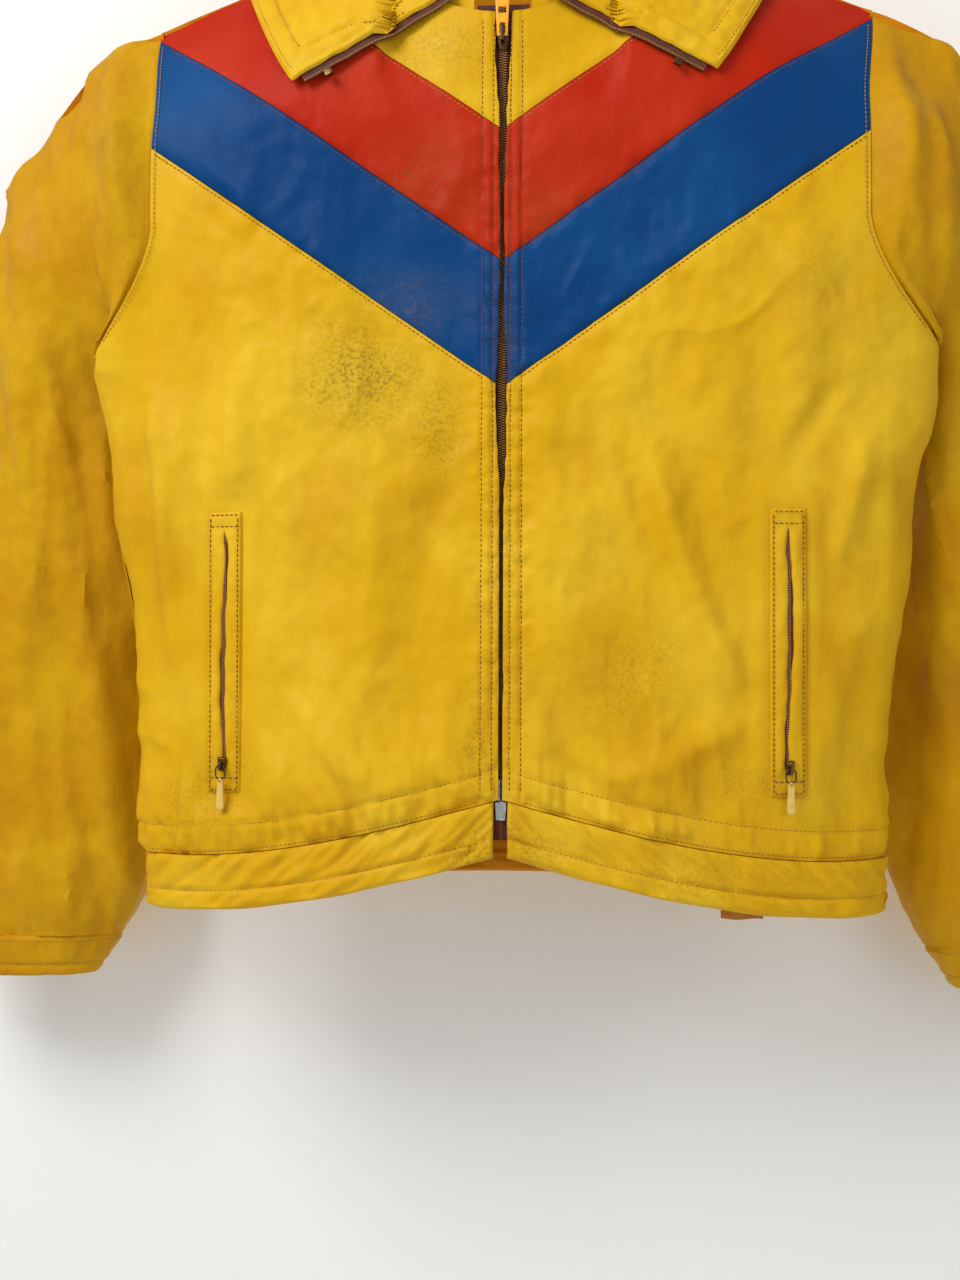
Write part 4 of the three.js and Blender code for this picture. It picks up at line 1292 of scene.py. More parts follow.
@dataclass
class Seam:
    """Runs of lockstitch, gathered until they are sewn as one piece."""

    stitch: float = 2.3
    pitch: float = 3.1
    radius: float = 0.3
    points: list[Array] = field(default_factory=list)
    faces: list[Array] = field(default_factory=list)
    count: int = 0

    def run(self, line: Array, normals: Array) -> None:
        """Adds stitches along a line.

        Args:
            line: Points close together along the cloth.
            normals: The cloth's normals there.
        """
        steps = np.linalg.norm(np.diff(line, axis=0), axis=-1)
        at = np.concatenate([[0], np.cumsum(steps)])
        starts = np.arange(0.5, at[-1] - self.stitch, self.pitch)
        if not len(starts):
            return
        pick = lambda where, what: np.stack([np.interp(where, at, what[:, i]) for i in range(3)], -1)
        lift = pick(starts, normals)
        a, b = pick(starts, line), pick(starts + self.stitch, line)
        along, up = unit(b - a), unit(lift)
        across = unit(np.cross(along, up))
        rings = ((0.0, 0.35, -0.1), (0.18, 1.0, 0.12), (0.82, 1.0, 0.12), (1.0, 0.35, -0.1))
        turns = np.arange(5) * 2 * math.pi / 5
        cage = []
        for share, size, rise in rings:
            middle = lerp(a, b, share) + up * rise
            for turn in turns:
                cage.append(middle + (across * math.cos(turn) + up * math.sin(turn)) * self.radius * size)
        body = np.stack(cage, 1)
        one = quads(4, 5, True)
        total = len(starts)
        faces = one[None] + (np.arange(total) * 20)[:, None, None] + self.count
        caps = np.array([[0, 1, 2, 3, 4], [19, 18, 17, 16, 15]])
        ends = caps[None] + (np.arange(total) * 20)[:, None, None] + self.count
        self.points.append(body.reshape(-1, 3))
        self.faces.extend([faces.reshape(-1, 4), ends.reshape(-1, 5)])
        self.count += total * 20

    def sew(self, name: str, body: str, finish: bpy.types.Material) -> bpy.types.Object:
        """Makes the gathered stitches one piece that rides on a body.

        Args:
            name: The piece's name.
            body: The body it rides on.
            finish: The thread's finish.

        Returns:
            The piece.
        """
        faces = [face for block in self.faces for face in block.tolist()]
        made = make_piece(name, np.concatenate(self.points), faces, 80)
        made.data.materials.append(finish)
        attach(made, body)
        log.info("%s: %d stitches", name, self.count // 20)
        return made


@dataclass
class Back:
    """The back panel, its hem band, and the linings of back and fronts."""

    form: BodyForm
    wear: Wardrobe
    thickness: float = 1.6
    lining_depth: float = 9.4

    def base(self, side: int) -> Surface:
        """The smooth face of one half of the back."""
        return lambda angle, z: self.form.back(angle, z) * np.array([side, 1, 1])

    def relief(self, point: Array, z: Array) -> Array:
        """Soft folds, and gathers over the hem band.

        Args:
            point: Points of the smooth face, in millimetres.
            z: Heights in the shared frame, in millimetres.

        Returns:
            The relief, in millimetres.
        """
        x = np.abs(point[..., 0])
        up = z - self.form.back_hem(x) - self.form.band
        gather = noise(point, (7, 40, 46), 61) + 0.6 * noise(point, (15, 40, 70), 62)
        total = 2.6 * dip(up - 30, 20) - 2.6 * dip(up, 3.4) - 1.4 * dip(up - 18, 1.7)
        total += 4.0 * gather * np.exp(-np.clip(up, 0, None) / 28) * smoothstep(up, 0.5, 5)
        total += 5.0 * noise(point, (90, 200, 170), 63) + 3.0 * noise(point, (34, 120, 80), 64)
        crumple = 0.7 * noise(point, (16, 40, 22), 65) + 0.3 * noise(point, (8, 30, 10), 66)
        total += crumple + 1.6 * ridges(point, (50, 90, 80), 67)
        return self.form.at_armhole(kept_above(total, 5.2), x, z)

    def band_relief(self, point: Array, z: Array) -> Array:
        """Padding and puckers of the hem band.

        Args:
            point: Points of the smooth face, in millimetres.
            z: Heights in the shared frame, in millimetres.

        Returns:
            The relief, in millimetres.
        """
        up = z - self.form.back_hem(np.abs(point[..., 0]))
        slanted = point + np.stack([z * 0.7, z * 0, z * 0], -1)
        pucker = noise(slanted, (10, 60, 34), 68) + 0.7 * noise(slanted, (6, 60, 15), 69)
        channels = -1.3 * dip(up - 12, 1.5) - 1.2 * dip(up - self.form.band, 2.6)
        return channels + 2.6 * pucker * smoothstep(up, 0, 5) + 1.4

    def half(
        self, side: int, share: Array, v: Array, low: Callable, high: Callable, edge: Callable,
        relief: Callable
    ) -> tuple[Array, Array, Array]:
        """Points, normals and smooth face of one half of a sheet."""
        angle, z = self.form.on_row(lambda x: lerp(low(x), high(x), v), lambda z: z * 0, edge, share)
        point, normal = facing(self.base(side), angle, z, -side)
        return point + normal * relief(point, z)[..., None], normal, point

    def whole(
        self, rows: int, cols: int, low: Callable, high: Callable, edge: Callable, relief: Callable
    ) -> tuple[Array, Array, Array]:
        """Both halves of a sheet side by side, as one grid."""
        share, v = np.meshgrid(np.linspace(0, 1, cols), np.linspace(0, 1, rows))
        left = self.half(1, share, v, low, high, edge, relief)
        right = self.half(-1, share, v, low, high, edge, relief)
        return tuple(np.concatenate([r[:, :0:-1], l], axis=1) for l, r in zip(left, right))

    def panel_edge(self, z: Array) -> Array:
        """Where the back ends, short of the armhole seam."""
        pit = -self.form.armpit
        return self.form.outer_edge(z) - lerp(0.1, 0.6, smoothstep(z, pit - 12, pit + 12))

    def build(self) -> None:
        """Makes the back, its hem band and its thread."""
        form = self.form
        band_top = lambda x: form.back_hem(x) + form.band
        shoulder = lambda x: form.top_edge(x, form.neck_back_drop)
        outer, normal, smooth = self.whole(
            170, 84, lambda x: band_top(x) + 0.25, shoulder, self.panel_edge, self.relief
        )
        # The back shell and its hem band use the darker sleeve nylon: painted shade.
        made = shell(
            "back_shell", outer, outer - normal * self.thickness, [self.wear.sleeve, self.wear.lining]
        )
        settle(made, "torso", "yellow_nylon", "back_panel")
        outer, normal, smooth = self.whole(
            28, 90, form.back_hem, lambda x: band_top(x) - 0.25, self.panel_edge, self.band_relief
        )
        edge = rounded(edge_distance(outer, True, False, False, False), 3.0)[..., None]
        band = shell(
            "hem_band_back",
            outer - normal * 2.4 * (1 - edge),
            outer - normal * (2.4 + 2.6 * edge),
            [self.wear.sleeve, self.wear.lining],
        )
        settle(band, "torso", "yellow_nylon", "waistband_back")
        self.stitching()
        self.linings()

    def stitching(self) -> None:
        """Sews the gather line, the band seam, the hem and the armholes of the back."""
        form = self.form
        seams = Seam()
        for side in (1, -1):
            panel = self.sewn(side, self.relief)
            band = self.sewn(side, self.band_relief)
            x = np.arange(1, 228, 0.6)
            for up in (form.band + 18, form.band + 2.4):
                z = form.back_hem(x) + up
                seams.run(*facing(panel, form.angle(x, z), z, -side))
            z = form.back_hem(x) + 12
            seams.run(*facing(band, form.angle(x, z), z, -side))
            z = np.arange(-266, -76, 0.6)
            seams.run(*facing(panel, form.angle(form.outer_edge(z) - 3.4, z), z, -side))
            x = np.arange(80, 222, 0.6)
            z = form.top_edge(x, form.neck_back_drop) - 5
            seams.run(*facing(panel, form.angle(x, z), z, -side))
        seams.sew("thread_back", "torso", self.wear.thread)

    def sewn(self, side: int, relief: Callable) -> Surface:
        """The finished face of one half of the back, to sew on."""

        def face(angle: Array, z: Array) -> Array:
            """A point of the finished face."""
            point, normal = facing(self.base(side), angle, z, -side)
            return point + normal * relief(point, z)[..., None]

        return face

    def lining_edge(self, z: Array) -> Array:
        """How far out a lining reaches."""
        return self.form.reach(self.form.angle(self.panel_edge(z), z) - 0.16, z)

    def linings(self) -> None:
        """Makes the back lining and one lining for each front."""
        form = self.form
        slack = lambda point, z: -self.lining_depth - 0.5 + 0.9 * noise(point, (30, 60, 80), 71)
        upper = lambda x: -form.shoulder_drop / 2 - 45 + x * 0
        low = lambda x: form.back_hem(x) + form.band - 2
        outer, normal, smooth = self.whole(60, 40, low, upper, self.lining_edge, slack)
        made = shell("back_lining", outer, outer - normal * 0.8, [self.wear.lining])
        settle(made, "torso", "lining_taffeta", "lining_back")
        for side in Side:
            share, v = np.meshgrid(np.linspace(0, 1, 40), np.linspace(0, 1, 60))
            top = lambda x: np.minimum(-form.shoulder_drop / 2, form.top_edge(x, form.neck_front_drop)) - 45
            row_at = lambda x: lerp(form.front_hem(x) + form.band - 2, top(x), v)
            angle, z = form.on_row(row_at, lambda z: 19.5 + z * 0, self.lining_edge, share)
            base = lambda a, h: form.front(a, h) * np.array([side.value, 1, 1])
            point, normal = facing(base, angle, z, side.value)
            sheet = point + normal * slack(point, z)[..., None]
            made = shell(f"front_lining_{side.hand}", sheet, sheet - normal * 0.8, [self.wear.lining])
            settle(made, "torso", "lining_taffeta", f"lining_front_{side.hand}")


@dataclass(frozen=True)
class Station:
    """A sleeve's section: its height, inner and outer reach, and half its thickness."""

    z: float
    inner: float
    outer: float
    half: float


@dataclass
class Sleeve:
    """One sleeve: the upper and lower part of its tube, its cuff and its lining."""

    form: BodyForm
    side: Side
    wear: Wardrobe
    middle_y: float = 27
    biceps: Station = Station(-302, 250, 351, 43)
    elbow: Station = Station(-392, 240, 372, 38)
    forearm: Station = Station(-560, 236, 390, 31)
    cuff_top: Station = Station(-655, 266, 392, 25)
    cuff_end: Station = Station(-683, 284, 390, 21)
    push: float = 0.36
    drop: float = 0.42
    parting: float = 0.5689
    around: int = 112

    def armhole(self, turn: Array) -> Array:
        """The armhole seam, from the shoulder tip round by way of the front."""
        form = self.form
        z = lerp(-form.shoulder_drop, -form.armpit + 1, (1 - np.cos(turn)) / 2)
        x = form.outer_edge(z)
        low = np.minimum(z, form.top_edge(x, form.neck_front_drop) - 1)
        angle = form.angle(x, z)
        front, back = form.front(angle, low)[..., 1], form.back(angle, low)[..., 1]
        depth = np.sin(turn)
        share = np.sign(depth) * np.minimum(1, np.abs(depth) * 3)
        return np.stack([x, (front + back) / 2 - share * (back - front) / 2, z], -1)

    def ring(self, station: Station, turn: Array) -> Array:
        """The oval of a station."""
        middle, reach = (station.inner + station.outer) / 2, (station.outer - station.inner) / 2
        y = self.middle_y - station.half * np.sin(turn)
        return np.stack([middle + reach * np.cos(turn), y, turn * 0 + station.z], -1)

    def cap(self, turn: Array, v: Array) -> Array:
        """The sleeve cap, from the armhole to the biceps."""
        start = self.armhole(turn)
        start[..., 0] += 0.4
        end = self.ring(self.biceps, turn)
        span = np.linalg.norm(end - start, axis=-1)
        outer = (1 + np.cos(turn)) / 2
        leave = np.array([1, 0, -0.35]) * (span * self.push * (0.35 + 0.65 * outer))[..., None]
        one, two = start + leave, end + np.array([0, 0, 1]) * (span * self.drop)[..., None]
        w = v[..., None]
        return (1 - w) ** 3 * start + 3 * w * (1 - w) ** 2 * one + 3 * w**2 * (1 - w) * two + w**3 * end

    def smooth(self, turn: Array, v: Array) -> Array:
        """The whole tube: v is 0 at the armhole, 0.42 at the biceps and 1 at the cuff's seam."""
        upper = self.cap(turn, np.clip(v / 0.42, 0, 1))
        stations = (self.biceps, self.elbow, self.forearm, self.cuff_top)
        heights = np.array([s.z for s in stations])
        z = lerp(self.biceps.z, self.cuff_top.z, np.clip((v - 0.42) / 0.58, 0, 1))
        pick = lambda name: np.interp(-z, -heights, [getattr(s, name) for s in stations])
        middle, reach = (pick("inner") + pick("outer")) / 2, (pick("outer") - pick("inner")) / 2
        lower = np.stack([middle + reach * np.cos(turn), self.middle_y - pick("half") * np.sin(turn), z], -1)
        found = np.where((v < 0.42)[..., None], upper, lower)
        return found * np.array([self.side.value, 1, 1])

    def relief(self, point: Array, v: Array) -> Array:
        """Long hanging folds, crumples at the elbow and gathers at the cuff."""
        ends = smoothstep(v, 0.0, 0.07) * (1 - 0.8 * smoothstep(v, 0.94, 1.0))
        lean = point + np.stack([point[..., 2] * 0.1, point[..., 2] * 0, point[..., 2] * 0], -1)
        long = 10.0 * noise(lean, (46, 60, 250), 81) + 7.0 * noise(lean, (21, 34, 150), 82)
        short = 2.8 * noise(point, (22, 30, 40), 83) + 0.7 * noise(point, (9, 14, 13), 84)
        crease = 2.6 * ridges(lean, (30, 40, 150), 85)
        gather = 2.0 * noise(point, (7, 9, 60), 86) * smoothstep(v, 0.86, 0.99)
        pit = 2.2 * noise(point + point[..., ::-1] * 0.4, (16, 22, 60), 87) * dip(v - 0.2, 0.16)
        folds = kept_above(ends * (long + short + crease + pit + 1.5) + gather, 4.5)
        return folds - 1.2 * dip(v, 0.012) - 1.6 * dip(v - 1, 0.012)

    def tube(self, first: float, last: float, rows: int) -> tuple[Array, Array, Array]:
        """Finished points, normals and smooth points of part of the tube."""
        turn = np.linspace(0, 2 * math.pi, self.around, endpoint=False)
        v = np.linspace(first, last, rows)
        turn, v = np.meshgrid(turn, v)
        smooth = self.smooth(turn, v)
        step = 0.002
        around = self.smooth(turn + step, v) - self.smooth(turn - step, v)
        down = self.smooth(turn, np.clip(v + step, 0, 1)) - self.smooth(turn, np.clip(v - step, 0, 1))
        normal = unit(np.cross(down, around)) * self.side.value
        outward = smooth - np.array([self.side.value * 301, self.middle_y, 0])
        outward[..., 2] = 0
        if (normal * outward).sum() < 0:
            normal = -normal
        return smooth + normal * self.relief(smooth, v)[..., None], normal, smooth

    def build(self) -> None:
        """Makes the sleeve's pieces: the two parts of its tube, the cuff and the lining."""
        hand, s = self.side.hand, self.side.value
        upper, normal, smooth = self.tube(0, self.parting, 110)
        depth = np.clip(3 * np.sin(np.linspace(0, 2 * math.pi, self.around, endpoint=False)), -1, 1)
        tuck = upper[:1] + np.stack([depth * 0 - 2.6 * s, 1.9 * depth, depth * 0], -1)
        upper, normal = np.concatenate([tuck, upper]), np.concatenate([normal[:1], normal])
        # The darker sleeve nylon: painted shade on the sleeve's tube.
        finish = [self.wear.sleeve, self.wear.lining]
        made = shell(f"sleeve_upper_{hand}", upper, upper - normal * 1.6, finish, wrap=True)
        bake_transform(made)
        settle(made, None, "yellow_nylon", f"upper_sleeve_{hand}")
        lower, normal, smooth = self.tube(self.parting, 1, 120)
        made = shell(f"sleeve_lower_{hand}", lower, lower - normal * 1.6, finish, wrap=True)
        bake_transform(made)
        settle(made, None, "yellow_nylon", f"lower_sleeve_{hand}")
        self.cuff()
        self.lining()

    def cuff(self) -> None:
        """Makes the padded cuff and its stitching."""
        turn, v = np.meshgrid(np.linspace(0, 2 * math.pi, 120, endpoint=False), np.linspace(0, 1, 24))
        top, end = self.ring(self.cuff_top, turn), self.ring(self.cuff_end, turn)
        smooth = lerp(top, end, v[..., None]) * np.array([self.side.value, 1, 1])
        middle = np.array(
            [self.side.value * (self.cuff_end.inner + self.cuff_end.outer) / 2, self.middle_y, 0]
        )
        normal = grid_normals(smooth, True, 1)
        outward = smooth - middle
        outward[..., 2] = 0
        if (normal * outward).sum() < 0:
            normal = -normal
        pucker = 0.9 * noise(smooth, (8, 11, 30), 91) + 0.6 * noise(smooth, (5, 6, 9), 92)
        relief = pucker * (
            1 - 0.7 * dip(v - 0.72, 0.08)
        ) - 1.2 * dip(v - 0.72, 0.05) - 1.5 * dip(v, 0.07) + 0.5
        outer = smooth + normal * relief[..., None]
        edge = rounded((1 - v) * 30, 2.6)[..., None]
        face, inside = outer - normal * 2.2 * (1 - edge), outer - normal * (2.2 + 1.6 * edge)
        hand = self.side.hand
        # Painted shade: the cuff uses the darker sleeve nylon.
        made = shell(f"cuff_band_{hand}", face, inside, [self.wear.sleeve, self.wear.lining], wrap=True)
        settle(made, f"lower_sleeve_{hand}", "yellow_nylon", f"cuff_{hand}")
        row = int(0.72 * 23)
        seam = Seam()
        seam.run(np.concatenate([face[row], face[row, :1]]), np.concatenate([normal[row], normal[row, :1]]))
        seam.run(np.concatenate([face[3], face[3, :1]]), np.concatenate([normal[3], normal[3, :1]]))
        seam.sew(f"thread_cuff_{hand}", f"lower_sleeve_{hand}", self.wear.thread)

    def lining(self) -> None:
        """Makes the sleeve's lining in its two parts."""
        hand, s = self.side.hand, self.side.value
        spans = (("upper", 0.28, self.parting), ("lower", self.parting, 0.985))
        for part, first, last in spans:
            _, normal, smooth = self.tube(first, last, 40)
            outer = smooth - normal * 7.8
            made = shell(
                f"sleeve_lining_{part}_{hand}", outer, outer - normal * 0.8, [self.wear.lining], wrap=True
            )
            if part == "upper":
                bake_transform(made)
            else:
                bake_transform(made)
            settle(made, None, "lining_taffeta", f"{part}_sleeve_lining_{hand}")


@dataclass
class Collar:
    """The tall collar, worn turned down: its stand, three leaves, and the zip tape along their front."""

    form: BodyForm
    wear: Wardrobe
    stand_front: float = 10
    stand_back: float = 26
    outset: float = 4.4
    start: float = 21
    split: float = 87
    corner_x: float = 129
    corner_z: float = -115
    shoulder: float = 94
    depth_back: float = 104
    lift: float = 3.2
    leaf: float = 4

    def stand_height(self, angle: Array) -> Array:
        """Height of the fold over the neck seam."""
        return lerp(self.stand_front, self.stand_back, (1 - np.cos(angle)) / 2)

    def neck(self, angle: Array, outset: float, up: Array) -> Array:
        """A point round the neck seam, raised and moved outwards."""
        form = self.form
        ahead = np.cos(angle)
        drop = np.where(ahead > 0, form.neck_front_drop, form.neck_back_drop)
        depth = np.where(ahead > 0, form.ridge_y - form.zip_top_y, form.neck_back_bulge)
        x = (form.neck_half + outset) * np.sin(angle)
        return np.stack([x, form.ridge_y - (depth + outset) * ahead, -drop * np.abs(ahead) + up], -1)

    def fold(self, angle: Array) -> Array:
        """The fold line of the leaves."""
        return self.neck(angle, self.outset, self.stand_height(angle))

    def over_body(self, face: Surface, drop: float, x: Array, z: Array, lift: float, sign: float) -> Array:
        """Points that lie on the body over (x, z), lifted clear of it."""
        form = self.form
        low = np.minimum(z, form.top_edge(x, drop) - 2)
        signed = np.array([1, 1, 1]) * np.ones(x.shape)[..., None]
        signed[..., 0] = np.where(x < 0, -1, 1)
        point, normal = facing(face, form.angle(x, low), low, sign)
        return (point + normal * lift) * signed

    def leaf_end(self) -> tuple[float, float]:
        """Where the front and back leaves' edges meet, over the shoulder seam."""
        form = self.form
        return form.neck_half + self.shoulder, -form.shoulder_drop * self.shoulder / (
            form.shoulder_half - form.neck_half
        )

    def front_leaf(self, u: Array, v: Array) -> Array:
        """The front leaf's smooth face: u from the zip to the shoulder, v from the fold outwards."""
        end_x, end_z = self.leaf_end()
        fold = self.fold(np.radians(lerp(self.start, self.split, u)))
        out = np.clip(v, 0, 1)
        x = lerp(fold[..., 0], lerp(self.corner_x, end_x, u), out)
        z = lerp(fold[..., 2], lerp(self.corner_z, end_z, u**1.2), out)
        lying = self.over_body(self.form.front, self.form.neck_front_drop, x, z, self.lift + self.leaf, 1)
        return self.rolled(fold, lying, v, np.radians(lerp(self.start, self.split, u)))

    def back_leaf(self, u: Array, v: Array) -> Array:
        """The back leaf's smooth face: u from one shoulder to the other."""
        end_x, end_z = self.leaf_end()
        turn = 180 - self.split - 0.5
        angle = np.radians(lerp(180 - turn, 180 + turn, u))
        fold = self.fold(angle)
        share = 1 - 2 * u
        out = np.clip(v, 0, 1)
        x = lerp(fold[..., 0], share * (end_x + 2), out)
        z = lerp(fold[..., 2], lerp(-self.depth_back, end_z, share**2), out)
        lying = self.over_body(self.form.back, self.form.neck_back_drop, x, z, self.lift + self.leaf, -1)
        lying[..., 1] += 3
        return self.rolled(fold, lying, v, angle)

    def rolled(self, fold: Array, lying: Array, v: Array, angle: Array) -> Array:
        """Joins a leaf to the stand over a round fold: v below 0 is the roll.

        Args:
            fold: Points along the fold.
            lying: The leaf where it lies on the body.
            v: Shares of the way out from the fold; below 0 is the roll.
            angle: Angles round the neck, in radians.

        Returns:
            The leaf's smooth face.
        """
        leaf = lerp(fold, lying, smoothstep(v, 0, 0.35)[..., None])
        stand = self.neck(angle, -2.2, self.stand_height(angle))
        turn = np.clip(-v / 0.12, 0, 1) * math.pi
        middle, half = (fold + stand) / 2, (fold - stand) / 2
        rise = np.array([0, 0, 1]) * (np.linalg.norm(half, axis=-1) * np.sin(turn))[..., None]
        over = middle + half * np.cos(turn)[..., None] + rise
        return np.where((v >= 0)[..., None], leaf, over)

    def dressed(self, smooth: Array, sign: float, front_edge: bool) -> tuple[Array, Array, Array]:
        """Pads a leaf: channels along its edges, puckers and round edges."""
        normal = grid_normals(smooth, False, sign)
        far = edge_distance(smooth, False, True, front_edge, False)
        roll = edge_distance(smooth, True, False, False, False)
        pucker = noise(smooth, (11, 14, 13), 101) + 0.6 * noise(smooth, (6, 8, 7), 102)
        swell = 1.5 * noise(smooth, (46, 60, 46), 103)
        relief = -1.5 * dip(far - 16, 1.7) - 0.5 * dip(far - 4.5, 1.2) + 0.9 * dip(far - 10, 4)
        relief += (1.1 * pucker + swell) * smoothstep(roll, 6, 24)
        outer = smooth + normal * relief[..., None]
        edge = rounded(far, 2.6)[..., None]
        depth = lerp(1.6, self.leaf + 0.4, smoothstep(roll, 8, 26))[..., None]
        return outer - normal * depth / 2 * (1 - edge), outer - normal * depth / 2 * (1 + edge), normal

    def build(self) -> None:
        """Makes the stand, the leaves and their tapes."""
        self.stand()
        rows = np.concatenate([np.linspace(-0.12, 0, 12)[:-1], np.linspace(0, 1, 56)])
        for side in Side:
            u, v = np.meshgrid(np.linspace(0, 1, 76), rows)
            smooth = self.front_leaf(u, v) * np.array([side.value, 1, 1])
            face, inside, normal = self.dressed(smooth, side.value, True)
            if normal[30, 20, 1] > 0:
                normal = -normal
                face, inside, _ = self.dressed(smooth, -side.value, True)
            made = shell(f"leaf_front_{side.hand}", face, inside, [self.wear.yellow, self.wear.yellow])
            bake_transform(made)
            settle(made, None, "yellow_nylon", f"collar_leaf_{side.hand}")
            self.leaf_thread(side, face, normal)
            self.leaf_tape(side, (face + inside) / 2, normal)
        u, v = np.meshgrid(np.linspace(0, 1, 120), rows)
        smooth = self.back_leaf(u, v)
        sign = 1 if grid_normals(smooth, False, 1)[30, 60, 1] > 0 else -1
        face, inside, normal = self.dressed(smooth, sign, False)
        # Painted shade: the back leaf uses the darker sleeve nylon.
        made = shell("leaf_back", face, inside, [self.wear.sleeve, self.wear.sleeve])
        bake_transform(made)
        settle(made, None, "yellow_nylon", "collar_leaf_back")
        seam = Seam()
        row = self.row_at(smooth, 16)
        seam.run(face[row], normal[row])
        row = self.row_at(smooth, 4.5)
        seam.run(face[row], normal[row])
        seam.sew("thread_leaf_back", "collar_back", self.wear.thread)

    def row_at(self, smooth: Array, inset: float) -> int:
        """The row of a leaf that lies this far inside its outer edge."""
        far = edge_distance(smooth, False, True, False, False)[:, smooth.shape[1] // 2]
        return int(np.argmin(np.abs(far - inset)))

    def stand(self) -> None:
        """Makes the stand round the neck seam."""
        angle, v = np.meshgrid(np.radians(np.linspace(14, 346, 150)), np.linspace(0, 1, 14))
        wave = 0.35 * noise(np.stack([np.degrees(angle), v * 20, v * 0], -1), (9, 12, 12), 104)
        points = self.neck(angle, -2.2, lerp(-2.5, self.stand_height(angle) + 0.6, v))
        core = np.stack([points[..., 0] * 0, points[..., 1] * 0 - 30, points[..., 2]], -1)
        normal = unit(points - core)
        outer = points + normal * wave[..., None]
        made = shell("stand", outer, outer - normal * 1.6, [self.wear.yellow, self.wear.lining])
        settle(made, "torso", "yellow_nylon", "collar_stand")

    def leaf_thread(self, side: Side, face: Array, normal: Array) -> None:
        """Sews the two lines of topstitching along a front leaf's edges.

        Args:
            side: Which side of the jacket.
            face: The leaf's outer face.
            normal: Its normals.
        """
        seam = Seam()
        for inset in (16.0, 4.5):
            far = edge_distance(face, False, True, True, False)
            along = []
            for col in range(face.shape[1] - 1, -1, -1):
                column = far[:, col]
                rows = np.where(np.abs(column - inset) < 1.6)[0]
                if edge_distance(face, False, False, True, False)[30, col] > inset and len(rows):
                    along.append((rows[np.argmin(np.abs(column[rows] - inset))], col))
            if not along:
                continue
            corner_row = along[-1][0]
            down = [(row, self.column_at(face, row, inset)) for row in range(corner_row - 1, 26, -1)]
            where = np.array(along + down)
            line = smoothed(face[where[:, 0], where[:, 1]])
            seam.run(line, normal[where[:, 0], where[:, 1]])
        seam.sew(f"thread_leaf_{side.hand}", f"collar_{side.hand}", self.wear.thread)

    def leaf_tape(self, side: Side, middle: Array, normal: Array) -> None:
        """Makes the zip tape that shows along a front leaf's edge, and its row of teeth.

        Args:
            side: Which leaf.
            middle: Points halfway through the leaf.
            normal: The leaf's normals.
        """
        edge, lift = smoothed(middle[17:64, 0], 8), smoothed(normal[17:64, 0], 8)
        steps = np.concatenate([[0], np.cumsum(np.linalg.norm(np.diff(edge, axis=0), axis=-1))])
        even = np.linspace(0, steps[-1], 90)
        edge = np.stack([np.interp(even, steps, edge[:, i]) for i in range(3)], -1)
        lift = unit(np.stack([np.interp(even, steps, lift[:, i]) for i in range(3)], -1))
        along = unit(np.gradient(edge, axis=0))
        out = unit(np.cross(along, lift))
        if (out[:, 0] * side.value).sum() > 0:
            out = -out
        across = np.linspace(-1.5, 5.2, 10)[None, :, None]
        wave = 0.4 * noise(edge, (11, 11, 11), 105)[:, None, None]
        sheet = edge[:, None] + out[:, None] * across - lift[:, None] * (0.9 + wave * across / 5)
        made = shell(f"leaf_tape_{side.hand}", sheet, sheet - lift[:, None] * 0.8, [self.wear.tape])
        body = f"collar_{side.hand}"
        settle(made, body, "zip_tape", f"collar_tape_{side.hand}")
        beads = Seam(stitch=0.9, pitch=1.5, radius=0.75)
        beads.run(sheet[:, -2], lift)
        beads.sew(f"leaf_coil_{side.hand}", body, self.wear.coil)

    def column_at(self, face: Array, row: int, inset: float) -> int:
        """The column of a leaf that lies this far inside its front edge, on one row."""
        run = np.concatenate([[0], np.cumsum(np.linalg.norm(np.diff(face[row], axis=0), axis=-1))])
        return int(np.argmin(np.abs(run - inset)))


def smoothed(line: Array, times: int = 3) -> Array:
    """A line with its steps evened out.

    Args:
        line: Points along the line.
        times: How many times it is evened out.

    Returns:
        The line, evened out.
    """
    out = line.copy()
    for _ in range(times):
        out[1:-1] = (out[:-2] + 2 * out[1:-1] + out[2:]) / 4
    return out


# ---- Hard pieces ----


